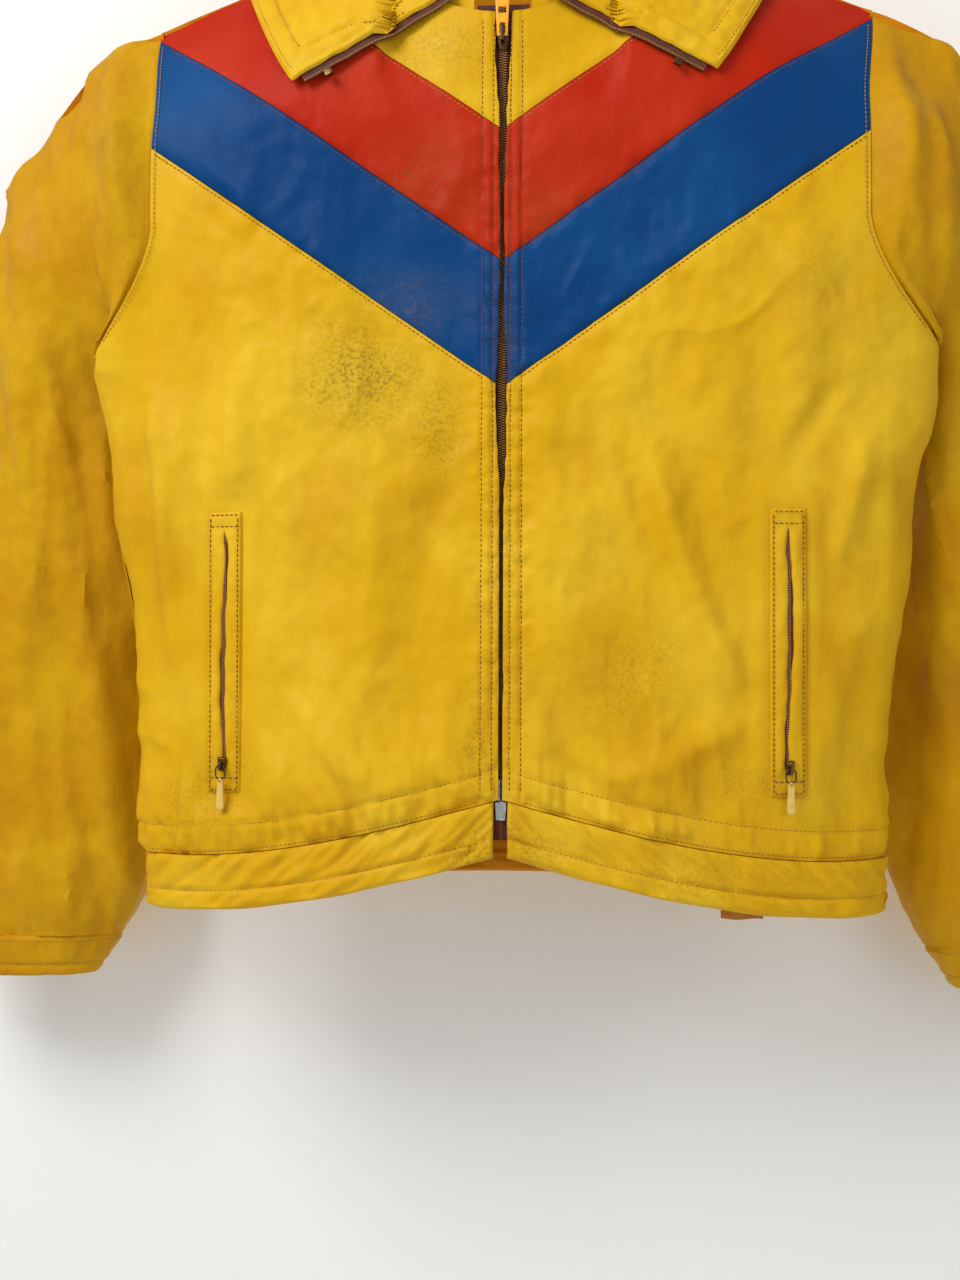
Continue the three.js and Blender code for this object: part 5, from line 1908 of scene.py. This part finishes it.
@dataclass
class Bench:
    """Tools for hard pieces: each starts as a primitive and is shaped in edit mode."""

    @staticmethod
    def block(
        name: str, low: Sequence[float], high: Sequence[float], bevel: float = 0.25, segments: int = 3
    ) -> bpy.types.Object:
        """A block with rounded edges.

        Args:
            name: The piece's name.
            low: Its lowest corner in millimetres.
            high: Its highest corner in millimetres.
            bevel: Radius of its edges.
            segments: Steps in each rounded edge.

        Returns:
            The block.
        """
        bpy.ops.object.select_all(action="DESELECT")
        middle = [(a + b) / 2 * MM for a, b in zip(low, high)]
        bpy.ops.mesh.primitive_cube_add(size=1, location=middle)
        made = bpy.context.active_object
        made.name = name
        made.scale = [(b - a) * MM for a, b in zip(low, high)]
        bpy.ops.object.transform_apply(location=True, rotation=True, scale=True)
        if bevel:
            Bench.ease(made, bevel, segments)
        return made

    @staticmethod
    def ease(made: bpy.types.Object, radius: float, segments: int = 3) -> None:
        """Rounds a piece's sharp edges.

        Args:
            made: The piece.
            radius: The edges' radius.
            segments: Steps across each rounded edge.
        """
        choose(made)
        tool = made.modifiers.new("ease", "BEVEL")
        tool.width, tool.segments, tool.limit_method = radius * MM, segments, "ANGLE"
        tool.angle_limit = math.radians(35)
        bpy.ops.object.modifier_apply(modifier=tool.name)

    @staticmethod
    def draw_in(made: bpy.types.Object, axis: int, end: int, factor: Sequence[float]) -> None:
        """Scales the face at one end of a piece.

        Args:
            made: The piece.
            axis: 0, 1 or 2 for x, y or z.
            end: 1 for the high end, -1 for the low one.
            factor: Scale along x, y and z.
        """
        choose(made)
        bpy.ops.object.mode_set(mode="EDIT")
        bpy.ops.mesh.select_all(action="DESELECT")
        bpy.ops.object.mode_set(mode="OBJECT")
        at = np.array([v.co[axis] for v in made.data.vertices])
        limit = at.max() if end > 0 else at.min()
        for vertex in made.data.vertices:
            vertex.select = abs(vertex.co[axis] - limit) < 1e-6
        bpy.ops.object.mode_set(mode="EDIT")
        bpy.ops.mesh.select_mode(type="VERT")
        bpy.ops.transform.resize(value=factor)
        bpy.ops.object.mode_set(mode="OBJECT")

    @staticmethod
    def cut(made: bpy.types.Object, tool: bpy.types.Object) -> None:
        """Cuts one piece out of another and removes the tool.

        Args:
            made: The piece to cut.
            tool: The piece that is cut out of it.
        """
        choose(made)
        change = made.modifiers.new("cut", "BOOLEAN")
        change.operation, change.object, change.solver = "DIFFERENCE", tool, "EXACT"
        bpy.ops.object.modifier_apply(modifier=change.name)
        bpy.data.objects.remove(tool)

    @staticmethod
    def wire(name: str, major: float, minor: float, stretch: float) -> bpy.types.Object:
        """An oval wire ring in the XZ plane, about the origin."""
        bpy.ops.object.select_all(action="DESELECT")
        bpy.ops.mesh.primitive_torus_add(
            major_radius=major * MM, minor_radius=minor * MM, major_segments=36, minor_segments=10
        )
        made = bpy.context.active_object
        made.name = name
        made.data.transform(Matrix.Rotation(math.pi / 2, 4, "X"))
        for vertex in made.data.vertices:
            vertex.co.z += math.copysign(
                (stretch - major) * MM, vertex.co.z
            ) if abs(vertex.co.z) > 1e-7 else 0
        return made

    @staticmethod
    def join(
        name: str, parts: Sequence[bpy.types.Object], finish: bpy.types.Material, frame: Matrix
    ) -> bpy.types.Object:
        """Joins parts into one finished piece and sets it in its place.

        Args:
            name: The piece's name.
            parts: What it is made of.
            finish: Its material.
            frame: Its place.

        Returns:
            The piece.
        """
        choose(*parts)
        if len(parts) > 1:
            bpy.ops.object.join()
        made = bpy.context.active_object
        made.name = name
        made.data.transform(frame)
        made.data.materials.clear()
        made.data.materials.append(finish)
        choose(made)
        bpy.ops.object.shade_smooth_by_angle(angle=math.radians(40))
        return made


def merged_copy(name: str, node: str, radius: float, finish: bpy.types.Material) -> bpy.types.Object:
    """A copy of a frame node with its loose triangles merged and its edges rounded."""
    made = bpy.data.objects[node].copy()
    made.data = bpy.data.objects[node].data.copy()
    made.parent = None
    for key in list(made.keys()):
        del made[key]
    made.name = name
    bpy.context.scene.collection.objects.link(made)
    choose(made)
    bpy.ops.object.mode_set(mode="EDIT")
    bpy.ops.mesh.select_all(action="SELECT")
    bpy.ops.mesh.remove_doubles(threshold=1e-6)
    bpy.ops.mesh.tris_convert_to_quads()
    bpy.ops.mesh.dissolve_limited(angle_limit=math.radians(2))
    bpy.ops.object.mode_set(mode="OBJECT")
    Bench.ease(made, radius)
    made.data.materials.clear()
    made.data.materials.append(finish)
    bpy.ops.object.shade_smooth_by_angle(angle=math.radians(40))
    return made


@dataclass
class MainZip:
    """The separating zip down the front: tapes, coils, pins, box, slider and pull tab."""

    form: BodyForm
    wear: Wardrobe
    coil_back: float = 4.4
    slider_back: float = 4.6
    nose: float = -97
    box_low: float = -567
    pitch: float = 1.55
    tooth: float = 0.36
    frame: Matrix = field(init=False)

    def __post_init__(self) -> None:
        """Finds the frame whose XZ plane is the placket's face."""
        lean = Matrix.Rotation(-math.atan(self.form.zip_lean), 4, "X")
        self.frame = Matrix.Translation((0, float(self.form.zip_y(np.array(0.0))) * MM, 0)) @ lean

    def placed(self, points: Array) -> Array:
        """Points of the zip's frame, in the jacket's."""
        turn = np.array(self.frame.to_3x3())
        return points @ turn.T + np.array(self.frame.translation) / MM

    def coil(self, side: Side) -> None:
        """Makes one side's coil: a row of teeth on its tape.

        Args:
            side: Which side of the jacket.
        """
        s = side.value
        z = np.arange(-540 + (0 if s > 0 else self.pitch / 2), -70, self.pitch)
        sections = []
        for share in np.linspace(0, 1, 6):
            across = lerp(-0.3, 3.0, share)
            size = self.tooth * (0.62 if share in (0.0, 1.0) else 1.0)
            middle = np.stack(
                [z * 0 + s * across, z * 0 + self.coil_back + 0.9 - 0.5 * math.sin(math.pi * share), z], -1
            )
            for k in range(5):
                turn = 2 * math.pi * k / 5
                sections.append(middle + np.array([0, math.cos(turn) * size * 1.25, math.sin(turn) * size]))
        points = np.stack(sections, 1).reshape(-1, 3)
        one = quads(6, 5, True)
        faces = (one[None] + (np.arange(len(z)) * 30)[:, None, None]).reshape(-1, 4).tolist()
        caps = np.array([[0, 1, 2, 3, 4], [29, 28, 27, 26, 25]])
        faces += (caps[None] + (np.arange(len(z)) * 30)[:, None, None]).reshape(-1, 5).tolist()
        made = make_piece(f"coil_{side.hand}", self.placed(points), faces, 70)
        made.data.materials.append(self.wear.coil)
        settle(made, "torso", "zip_coil", f"zip_coil_{side.hand}")

    def tape(self, side: Side) -> None:
        """Makes one side's tape, from its beaded edge to the seam that hides it.

        Args:
            side: Which side of the jacket.
        """
        s = side.value
        across, z = np.meshgrid(np.linspace(0.15, 16, 24), np.linspace(-579, -68, 180))
        waver = 0.3 * noise(np.stack([across, across * 0, z], -1), (8, 8, 16), 111 + s)
        y = self.coil_back + 1.5 + waver + 0.5 * smoothstep(across, 2, 6)
        outer = self.placed(np.stack([across * s, y, z], -1))
        inner = self.placed(np.stack([across * s, y + 0.6, z], -1))
        made = shell(f"tape_{side.hand}", outer, inner, [self.wear.tape])
        settle(made, "torso", "zip_tape", f"zip_tape_{side.hand}")

    def slider(self) -> None:
        """Makes the slider: two shaped plates, side flanges and the bridge that holds the tab."""
        y, z = self.slider_back, self.nose
        front = Bench.block("plate", (-3.8, y - 1.4, z), (3.8, y - 0.3, z + 15), 0)
        Bench.draw_in(front, 2, -1, (0.62, 1, 1))
        Bench.ease(front, 0.35)
        rear = Bench.block("rear", (-3.8, y + 2.4, z), (3.8, y + 3.3, z + 15), 0)
        Bench.draw_in(rear, 2, -1, (0.62, 1, 1))
        Bench.ease(rear, 0.3)
        flanges = []
        for s in (1, -1):
            x0, x1 = sorted((s * 3.0, s * 3.8))
            flange = Bench.block("flange", (x0, y - 1.2, z + 3), (x1, y + 0.4, z + 14.4), 0.2)
            flanges.append(flange)
        legs = [
            Bench.block(
                "leg", (-1.1, -4.6, low), (1.1, y - 0.6, low + 1.3), 0.3
            ) for low in (z + 3.6, z + 12.2)
        ]
        bridge = Bench.block("bridge", (-1.1, -4.9, z + 3.5), (1.1, -3.5, z + 13.5), 0)
        Bench.draw_in(bridge, 1, -1, (0.8, 1, 0.72))
        Bench.ease(bridge, 0.4)
        made = Bench.join("slider_main", [front, rear, *flanges, *legs, bridge], self.wear.brass, self.frame)
        settle(made, "main_slider", "antique_brass", "main_slider")

    def tab(self) -> None:
        """Makes the pull tab, turned up: tapered, with an eye for the bridge and a square window."""
        low = self.nose + 6.5
        tab = Bench.block("tab", (-3.3, -3.1, low), (3.3, -1.7, low + 27), 0)
        Bench.draw_in(tab, 2, 1, (1.36, 1, 1))
        Bench.ease(tab, 0.5, 4)
        Bench.cut(tab, Bench.block("eye", (-1.7, -6, low + 1.2), (1.7, 2, low + 8.2), 0.6))
        Bench.cut(tab, Bench.block("window", (-2.5, -6, low + 14), (2.5, 2, low + 18), 0.5))
        made = Bench.join("tab_main", [tab], self.wear.amber, self.frame)
        settle(made, "main_pull", "amber_plastic", "main_pull")

    def ends(self) -> None:
        """Makes the retainer box and the two pins above it."""
        y = self.slider_back + 1.05
        low = self.box_low
        body = Bench.block("box", (-3.7, y - 2.5, low), (3.7, y + 2.5, low + 11.4), 0)
        Bench.draw_in(body, 2, -1, (0.86, 0.9, 1))
        Bench.ease(body, 0.7, 4)
        for z in (low + 3.0, low + 7.4):
            Bench.cut(body, Bench.block("groove", (-5, y - 3.2, z), (5, y - 2.25, z + 0.7), 0))
        Bench.cut(body, Bench.block("mouth", (-1.9, y - 0.8, low + 9.8), (1.9, y + 0.8, low + 14), 0))
        made = Bench.join("retainer", [body], self.wear.aluminium, self.frame)
        settle(made, "torso", "bright_aluminium", "zip_box")
        for side in Side:
            s = side.value
            x0, x1 = sorted((s * 0.45, s * 1.85))
            pin = Bench.block("pin", (x0, y - 1.0, low + 11.7), (x1, y + 0.3, low + 24.6), 0.35)
            made = Bench.join(f"pin_{side.hand}", [pin], self.wear.aluminium, self.frame)
            settle(made, "torso", "bright_aluminium", f"zip_pin_{side.hand}")

    def build(self) -> None:
        """Makes the whole zip."""
        for side in Side:
            self.tape(side)
            self.coil(side)
        self.slider()
        self.tab()
        self.ends()


@dataclass
class Pocket:
    """An upright zipped pocket: stitched welt, chain, slider, ring, paddle and bag."""

    front: Front
    half: float = 11
    end: float = 11
    lift: float = 1.6

    def matrix(self) -> Matrix:
        """The pocket's own frame: its XZ plane lies on the panel.

        Returns:
            The pocket's frame.
        """
        front, form, s = self.front, self.front.form, self.front.side.value
        middle = front.pocket_top - front.pocket_length / 2
        reach = front.pocket_length / 2

        def at(x: float, z: float) -> Vector:
            """A point of the smooth panel, with its seam allowance."""
            height = np.array(z)
            point = form.front(form.angle(np.array(x), height), height) + np.array([0, -0.2, 0])
            return Vector(point * np.array([s, 1, 1]))

        up = (at(front.pocket_x, middle + reach) - at(front.pocket_x, middle - reach)).normalized()
        across = (at(front.pocket_x + 8, middle) - at(front.pocket_x - 8, middle)) * s
        inward = up.cross(across).normalized()
        ends = (at(front.pocket_x, middle + reach) + at(front.pocket_x, middle - reach)) / 2
        turn = Matrix((inward.cross(up), inward, up)).transposed().to_4x4()
        return Matrix.Translation(ends * MM) @ turn

    def lip(self, z: Array, s: float) -> Array:
        """How far one lip of the mouth stands from the middle, at a height along the pocket."""
        half = self.front.pocket_length / 2 - self.end
        side = self.front.side.value
        open_share = smoothstep(np.abs(z), half, half - 10)
        sway = 1.3 * np.sin(z / 26 + side) + 0.8 * noise(
            np.stack([z * 0 + side * 50, z * 0, z], -1), (20, 20, 14), 121
        )
        gape = 0.75 + 0.9 * dip(z - 12 * side, 34) + 0.35 * noise(
            np.stack([z * 0 + s * 30, z * 0, z], -1), (20, 20, 9), 122
        )
        return open_share * (np.maximum(gape, 0.3) + s * sway)

    def welt(self, frame: Matrix) -> None:
        """Makes the welt as two lips that meet above and below the mouth."""
        turn, shift = np.array(frame.to_3x3()), np.array(frame.translation) / MM
        reach = self.front.pocket_length / 2
        outers, inners = [], []
        seam = Seam()
        for s in (1, -1):
            share, z = np.meshgrid(np.linspace(0, 1, 16) ** 1.1, np.linspace(-reach, reach, 150))
            inner_x = self.lip(z, s)
            x = s * lerp(inner_x, self.half, share)
            dx = np.abs(x)
            place = np.stack([x + 300 * self.front.side.value, x * 0, z], -1)
            pucker = 0.55 * noise(place, (6, 9, 8), 123) + 0.45 * noise(place, (20, 9, 30), 124)
            off_lip = lerp(inner_x, self.half, share) - inner_x
            mouth = smoothstep(np.abs(z), reach - self.end + 2, reach - self.end - 6)
            roll = -1.3 * (1 - rounded(off_lip, 2.2)) * mouth
            fall = rounded(np.minimum(self.half - dx, reach - np.abs(z)), 1.6)
            swell = 0.9 * dip(off_lip - 3.5, 3.2) * mouth
            stitch = -0.7 * dip(self.half - dx - 1.8, 0.9) - 0.5 * dip(reach - np.abs(z) - 1.8, 0.9)
            y = -(self.lift * fall + pucker * fall + roll + swell + stitch)
            outers.append(np.stack([x, y, z], -1) @ turn.T + shift)
            inners.append(np.stack([x, np.maximum(y + 1.3, 0.2), z], -1) @ turn.T + shift)
            rows = np.linspace(-reach + 1.8, reach - 1.8, 300)
            side_line = np.stack([rows * 0 + s * (self.half - 1.8), rows * 0 - self.lift - 0.05, rows], -1)
            seam.run(side_line @ turn.T + shift, np.tile(turn @ np.array([0, -1.0, 0]), (300, 1)))
        for end in (1, -1):
            xs = np.linspace(-self.half + 1.8, self.half - 1.8, 60)
            for inset in (1.8, 9.0):
                line = np.stack([xs, xs * 0 - self.lift - 0.1, xs * 0 + end * (reach - inset)], -1)
                seam.run(line @ turn.T + shift, np.tile(turn @ np.array([0, -1.0, 0]), (60, 1)))
        hand = self.front.side.hand
        finish = [self.front.wear.yellow]
        halves = [shell(f"lip_{i}", o, n, finish) for i, (o, n) in enumerate(zip(outers, inners))]
        choose(*halves)
        bpy.ops.object.join()
        made = bpy.context.active_object
        made.name = f"welt_{hand}"
        settle(made, "torso", "yellow_nylon", f"pocket_welt_{hand}")
        seam.sew(f"thread_pocket_{hand}", "torso", self.front.wear.dark_thread)

    def chain(self, frame: Matrix) -> None:
        """Makes the closed zip inside the mouth."""
        turn, shift = np.array(frame.to_3x3()), np.array(frame.translation) / MM
        reach = self.front.pocket_length / 2 - self.end - 0.5
        across, z = np.meshgrid(np.linspace(-4.2, 4.2, 14), np.linspace(-reach, reach, 90))
        y = -0.35 - 0.75 * dip(across, 1.3) + 0 * z
        outer = np.stack([across, y, z], -1) @ turn.T + shift
        inner = np.stack([across, y + 0.6, z], -1) @ turn.T + shift
        base = shell("chain_base", outer, inner, [self.front.wear.tape])
        rows = np.arange(-reach, reach, 1.5)
        points, faces = [], []
        for s in (1, -1):
            for share in range(3):
                size = (0.3, 0.42, 0.3)[share]
                for k in range(5):
                    angle = 2 * math.pi * k / 5
                    x = s * (0.2 + 0.55 * share) + rows * 0
                    sway = np.stack(
                        [
                            x, -1.15 + math.cos(angle) * size + rows * 0,
                            rows + s * 0.37 + math.sin(angle) * size
                        ], -1
                    )
                    points.append(sway)
        stacked = np.stack(points, 1).reshape(len(rows), 2, 15, 3).reshape(-1, 3) @ turn.T + shift
        one = quads(3, 5, True)
        count = len(rows) * 2
        faces = (one[None] + (np.arange(count) * 15)[:, None, None]).reshape(-1, 4).tolist()
        caps = np.array([[0, 1, 2, 3, 4], [14, 13, 12, 11, 10]])
        faces += (caps[None] + (np.arange(count) * 15)[:, None, None]).reshape(-1, 5).tolist()
        teeth = make_piece("chain_teeth", stacked, faces, 70)
        teeth.data.materials.append(self.front.wear.coil)
        choose(base, teeth)
        bpy.ops.object.join()
        hand = self.front.side.hand
        base.name = f"chain_{hand}"
        settle(base, "torso", "zip_tape", f"pocket_zip_{hand}")

    def slider(self, frame: Matrix) -> None:
        """Makes the slider with its bridge, the wire ring and the enamelled paddle."""
        wear, hand = self.front.wear, self.front.side.hand
        mouth = self.front.pocket_length / 2 - self.end
        low = -mouth + 2
        front = -1.3 - 1.2 - 0.3 - 2.2
        body = Bench.block("body", (-3.2, front, low), (3.2, front + 2.2, low + 9), 0)
        Bench.draw_in(body, 2, -1, (0.6, 1, 1))
        Bench.draw_in(body, 1, -1, (0.8, 1, 0.86))
        Bench.ease(body, 0.5, 4)
        legs = [
            Bench.block(
                "leg", (-0.9, front - 2.9, z), (0.9, front + 1, z + 1), 0.25
            ) for z in (low + 1, low + 5)
        ]
        bar = Bench.block("bar", (-0.9, front - 3, low + 1), (0.9, front - 2, low + 6), 0)
        Bench.draw_in(bar, 1, -1, (0.9, 1, 0.7))
        Bench.ease(bar, 0.3)
        made = Bench.join(f"slider_pocket_{hand}", [body, *legs, bar], wear.brass, frame)
        settle(made, f"pocket_slider_{hand}", "antique_brass", f"pocket_slider_{hand}")
        ring_y, top = front - 1.1, low + 4.4
        ring = Bench.wire("ring", 3.1, 0.5, 4.3)
        ring.data.transform(Matrix.Translation(Vector((0, ring_y, top - 4.75)) * MM))
        made = Bench.join(f"wire_ring_{hand}", [ring], wear.brass, frame)
        settle(made, f"pocket_pull_{hand}", "antique_brass", f"pocket_ring_{hand}")
        high = top - 9.8
        paddle = self.paddle_blank(ring_y, high - 18, high + 1.6)
        Bench.cut(
            paddle, Bench.block("eye", (-1.0, ring_y - 3, high - 1.2), (1.0, ring_y + 3, high + 0.4), 0.3)
        )
        made = Bench.join(f"paddle_{hand}", [paddle], wear.enamel, frame)
        settle(made, f"pocket_pull_{hand}", "pull_enamel", f"pocket_pull_{hand}")

    def paddle_blank(self, y: float, low: float, high: float) -> bpy.types.Object:
        """Draws a disc out into the paddle's long rounded outline.

        Args:
            y: Depth of its middle in millimetres.
            low: Height of its low end.
            high: Height of its high end.

        Returns:
            The paddle, without its eye.
        """
        bpy.ops.object.select_all(action="DESELECT")
        bpy.ops.mesh.primitive_cylinder_add(
            vertices=40, radius=2.5 * MM, depth=1.5 * MM, location=(
                0, y * MM, (low + 2.5) * MM
            ), rotation=(math.pi / 2, 0, 0)
        )
        made = bpy.context.active_object
        bpy.ops.object.transform_apply(location=True, rotation=True, scale=True)
        for vertex in made.data.vertices:
            vertex.select = vertex.co.z > (low + 2.6) * MM
        for flat in (*made.data.edges, *made.data.polygons):
            flat.select = False
        bpy.context.tool_settings.mesh_select_mode = (True, False, False)
        bpy.ops.object.mode_set(mode="EDIT")
        bpy.ops.transform.translate(value=(0, 0, (high - low - 5) * MM))
        bpy.ops.transform.resize(value=(0.7, 1, 0.8))
        bpy.ops.object.mode_set(mode="OBJECT")
        Bench.ease(made, 0.35, 3)
        return made

    def bag(self) -> None:
        """Makes the pocket bag: two plies of lining sewn round their edge."""
        front, form = self.front, self.front.form
        x, z = np.meshgrid(
            np.linspace(92, 186, 40), np.linspace(
                front.pocket_top - front.pocket_length - 20, front.pocket_top, 60
            )
        )
        base = lambda a, h: form.front(a, h) * np.array([front.side.value, 1, 1])
        smooth, normal = facing(base, form.angle(x, z), z, front.side.value)
        edge = rounded(edge_distance(smooth, True, True, True, True), 14)[..., None]
        wave = (0.25 * noise(smooth, (26, 40, 40), 131))[..., None]
        outer = smooth - normal * (5.0 - 1.1 * edge + wave)
        inner = smooth - normal * (5.1 + 1.1 * edge + wave)
        made = shell(f"bag_{front.side.hand}", outer, inner, [front.wear.lining])
        settle(made, "torso", "lining_taffeta", f"pocket_bag_{front.side.hand}")

    def build(self) -> None:
        """Makes the whole pocket."""
        frame = self.matrix()
        self.welt(frame)
        self.chain(frame)
        self.slider(frame)
        self.bag()


@dataclass
class Trim:
    """Small trim: hang loop, hem tab, neck label and the collar's stops."""

    form: BodyForm
    wear: Wardrobe

    def loop(self) -> None:
        """Makes the woven hang loop along the centre line of its node."""
        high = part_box("hang_loop")[1]
        half, drop, y = high.x / MM - 2, 25.0, -1.0
        t = np.linspace(-1, 1, 60)
        x = half * np.sin(t * math.pi / 2) * (1 - 0.06 * np.cos(t * math.pi))
        z = -drop + (drop + 0.7) * np.cos(t * math.pi / 2) ** 0.8
        line = np.stack([x, t * 0 + y, z], -1)
        along = unit(np.gradient(line, axis=0))
        out = unit(np.cross(along, np.array([0.0, 1, 0])))
        if out[30, 2] < 0:
            out = -out
        turns = np.linspace(0, 2 * math.pi, 16, endpoint=False)
        wide, thick = 2.25, 0.7
        square = lambda value: np.sign(value) * np.abs(value) ** 0.6
        rings = [
            line + out * (
                square(math.sin(turn)) * thick
            ) + np.array([0, 1.0, 0]) * square(math.cos(turn)) * wide
            for turn in turns
        ]
        points = np.stack(rings, 1)
        faces = quads(60, 16, True).tolist()
        faces += [list(range(16)), list(range(59 * 16, 60 * 16))[::-1]]
        made = make_piece("neck_loop", points.reshape(-1, 3), faces, 60)
        made.data.materials.append(self.wear.ribbon)
        settle(made, "torso", "ribbon", "hang_loop")

    def hem_tab(self) -> None:
        """Makes the ribbon tab that shows under the hem."""
        low, high = (np.array(v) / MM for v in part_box("hem_tab"))
        x, z = np.meshgrid(np.linspace(low[0], high[0], 24), np.linspace(low[2], high[2], 50))
        y = (low[1] + high[1]) / 2 + 0.5 * np.sin(x / 5) * 0.6 + 0.4 * noise(
            np.stack([x, x * 0, z], -1), (14, 9, 16), 141
        )
        outer = np.stack([x, y - 0.5, z + 0.5 * np.sin(x / 4)], -1)
        inner = outer + np.array([0, 1.0, 0])
        made = shell("ribbon_tab", outer, inner, [self.wear.ribbon])
        settle(made, "hem_tab", "ribbon", "hem_tab")

    def label(self) -> None:
        """Makes the blank neck label."""
        low, high = (np.array(v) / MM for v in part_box("neck_label"))
        x, z = np.meshgrid(np.linspace(low[0], high[0], 30), np.linspace(low[2], high[2], 18))
        form = self.form
        back = form.back(form.angle(x, z), z)[..., 1]
        y = back - 13.8 + 0.3 * noise(np.stack([x, x * 0, z], -1), (16, 9, 12), 142)
        outer = np.stack([x, y, z], -1)
        made = shell("size_label", outer, outer - np.array([0, 0.6, 0]), [self.wear.label])
        settle(made, "torso", "label_cloth", "neck_label")

    def stops(self) -> None:
        """Dresses the stop on each collar leaf."""
        for side in Side:
            stop = merged_copy(f"stop_{side.hand}", f"top_stop_{side.hand}", 0.3, self.wear.brass)
            settle(stop, f"collar_{side.hand}", "antique_brass", f"top_stop_{side.hand}")

    def build(self) -> None:
        """Makes all the trim."""
        self.loop()
        self.hem_tab()
        self.label()
        self.stops()


# ---- Studio ----


@dataclass
class Studio:
    """A pale wall and floor, soft light and the camera."""

    wall_y: float = 0.082
    floor_z: float = -1.35
    distance: float = 1.1
    azimuth: float = 5.5
    aim: tuple[float, float, float] = (-0.012, -0.09, -0.458)
    long_side: float = 0.768

    def plane(
        self, name: str, corners: Sequence[Sequence[float]], finish: bpy.types.Material
    ) -> bpy.types.Object:
        """A flat backdrop with these corners, in metres."""
        made = make_piece(name, np.array(corners) / MM, [[0, 1, 2, 3]])
        made.data.materials.append(finish)
        return made

    def backdrop(self) -> None:
        """Makes the wall, which is clear from behind and casts nothing, and the floor."""
        y, w = self.wall_y, 2.6
        wall = self.plane(
            "wall",
            [(-w, y, self.floor_z), (w, y, self.floor_z), (w, y, 1.6), (-w, y, 1.6)],
            Emulsion("wall_emulsion", Colour.WALL, see_through_back=True).material(),
        )
        if wall.data.polygons[0].normal.y > 0:
            wall.data.flip_normals()
        for way in ("visible_diffuse", "visible_glossy", "visible_transmission", "visible_shadow"):
            setattr(wall, way, False)
        z = self.floor_z
        floor = self.plane(
            "floor", [
                (-4, -4, z), (4, -4, z), (4, 4, z), (-4, 4, z)
            ], Emulsion("floor_paint", Colour.FLOOR).material()
        )
        if floor.data.polygons[0].normal.z < 0:
            floor.data.flip_normals()

    def lamp(self, name: str, place: Sequence[float], size: float, power: float) -> None:
        """A square soft light that points at the jacket."""
        data = bpy.data.lights.new(name, "AREA")
        data.shape, data.size, data.energy = "SQUARE", size, power
        made = bpy.data.objects.new(name, data)
        bpy.context.scene.collection.objects.link(made)
        made.location = place
        made.rotation_mode = "QUATERNION"
        made.rotation_quaternion = (Vector((0, 0, -0.35)) - Vector(place)).to_track_quat("-Z", "Y")

    def light(self) -> None:
        """Sets the lamps and the even light of the room."""
        self.lamp("key", (-1.2, -1.4, 1.1), 1.2, 45)
        self.lamp("fill", (1.6, -2.2, 0.1), 1.8, 14)
        self.lamp("back", (0.4, 2.4, 0.9), 2.0, 46)
        world = bpy.data.worlds.new("room")
        world.use_nodes = True
        world.node_tree.nodes["Background"].inputs["Color"].default_value = (1.0, 1.0, 1.0, 1.0)
        world.node_tree.nodes["Background"].inputs["Strength"].default_value = 0.44
        bpy.context.scene.world = world

    def camera(self) -> None:
        """Sets the camera a little to the wearer's left of the zip."""
        data = bpy.data.cameras.new("camera")
        data.sensor_fit, data.sensor_width = "AUTO", 36
        data.lens = 18 / math.tan(math.atan(self.long_side / 2 / self.distance))
        made = bpy.data.objects.new("camera", data)
        bpy.context.scene.collection.objects.link(made)
        turn = math.radians(self.azimuth)
        back = Vector((math.sin(turn), -math.cos(turn), 0))
        made.location = Vector(self.aim) + back * self.distance
        made.rotation_mode = "QUATERNION"
        made.rotation_quaternion = (-back).to_track_quat("-Z", "Y")
        bpy.context.scene.camera = made

    def build(self) -> None:
        """Makes the whole studio, and has its colours shown as they are dyed."""
        bpy.context.scene.view_settings.view_transform = "Standard"
        self.backdrop()
        self.light()
        self.camera()


def main() -> None:
    """Builds the jacket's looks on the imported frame."""
    logging.basicConfig(level=logging.INFO, format="%(message)s")
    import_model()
    bpy.ops.object.select_all(action="DESELECT")
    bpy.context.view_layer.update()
    Studio().build()
    wear = Wardrobe()
    form = BodyForm()
    for side in Side:
        front = Front(form, side, wear)
        front.build()
        Pocket(front).build()
        Sleeve(form, side, wear).build()
    Back(form, wear).build()
    Collar(form, wear).build()
    MainZip(form, wear).build()
    Trim(form, wear).build()


if __name__ == "__main__":
    main()
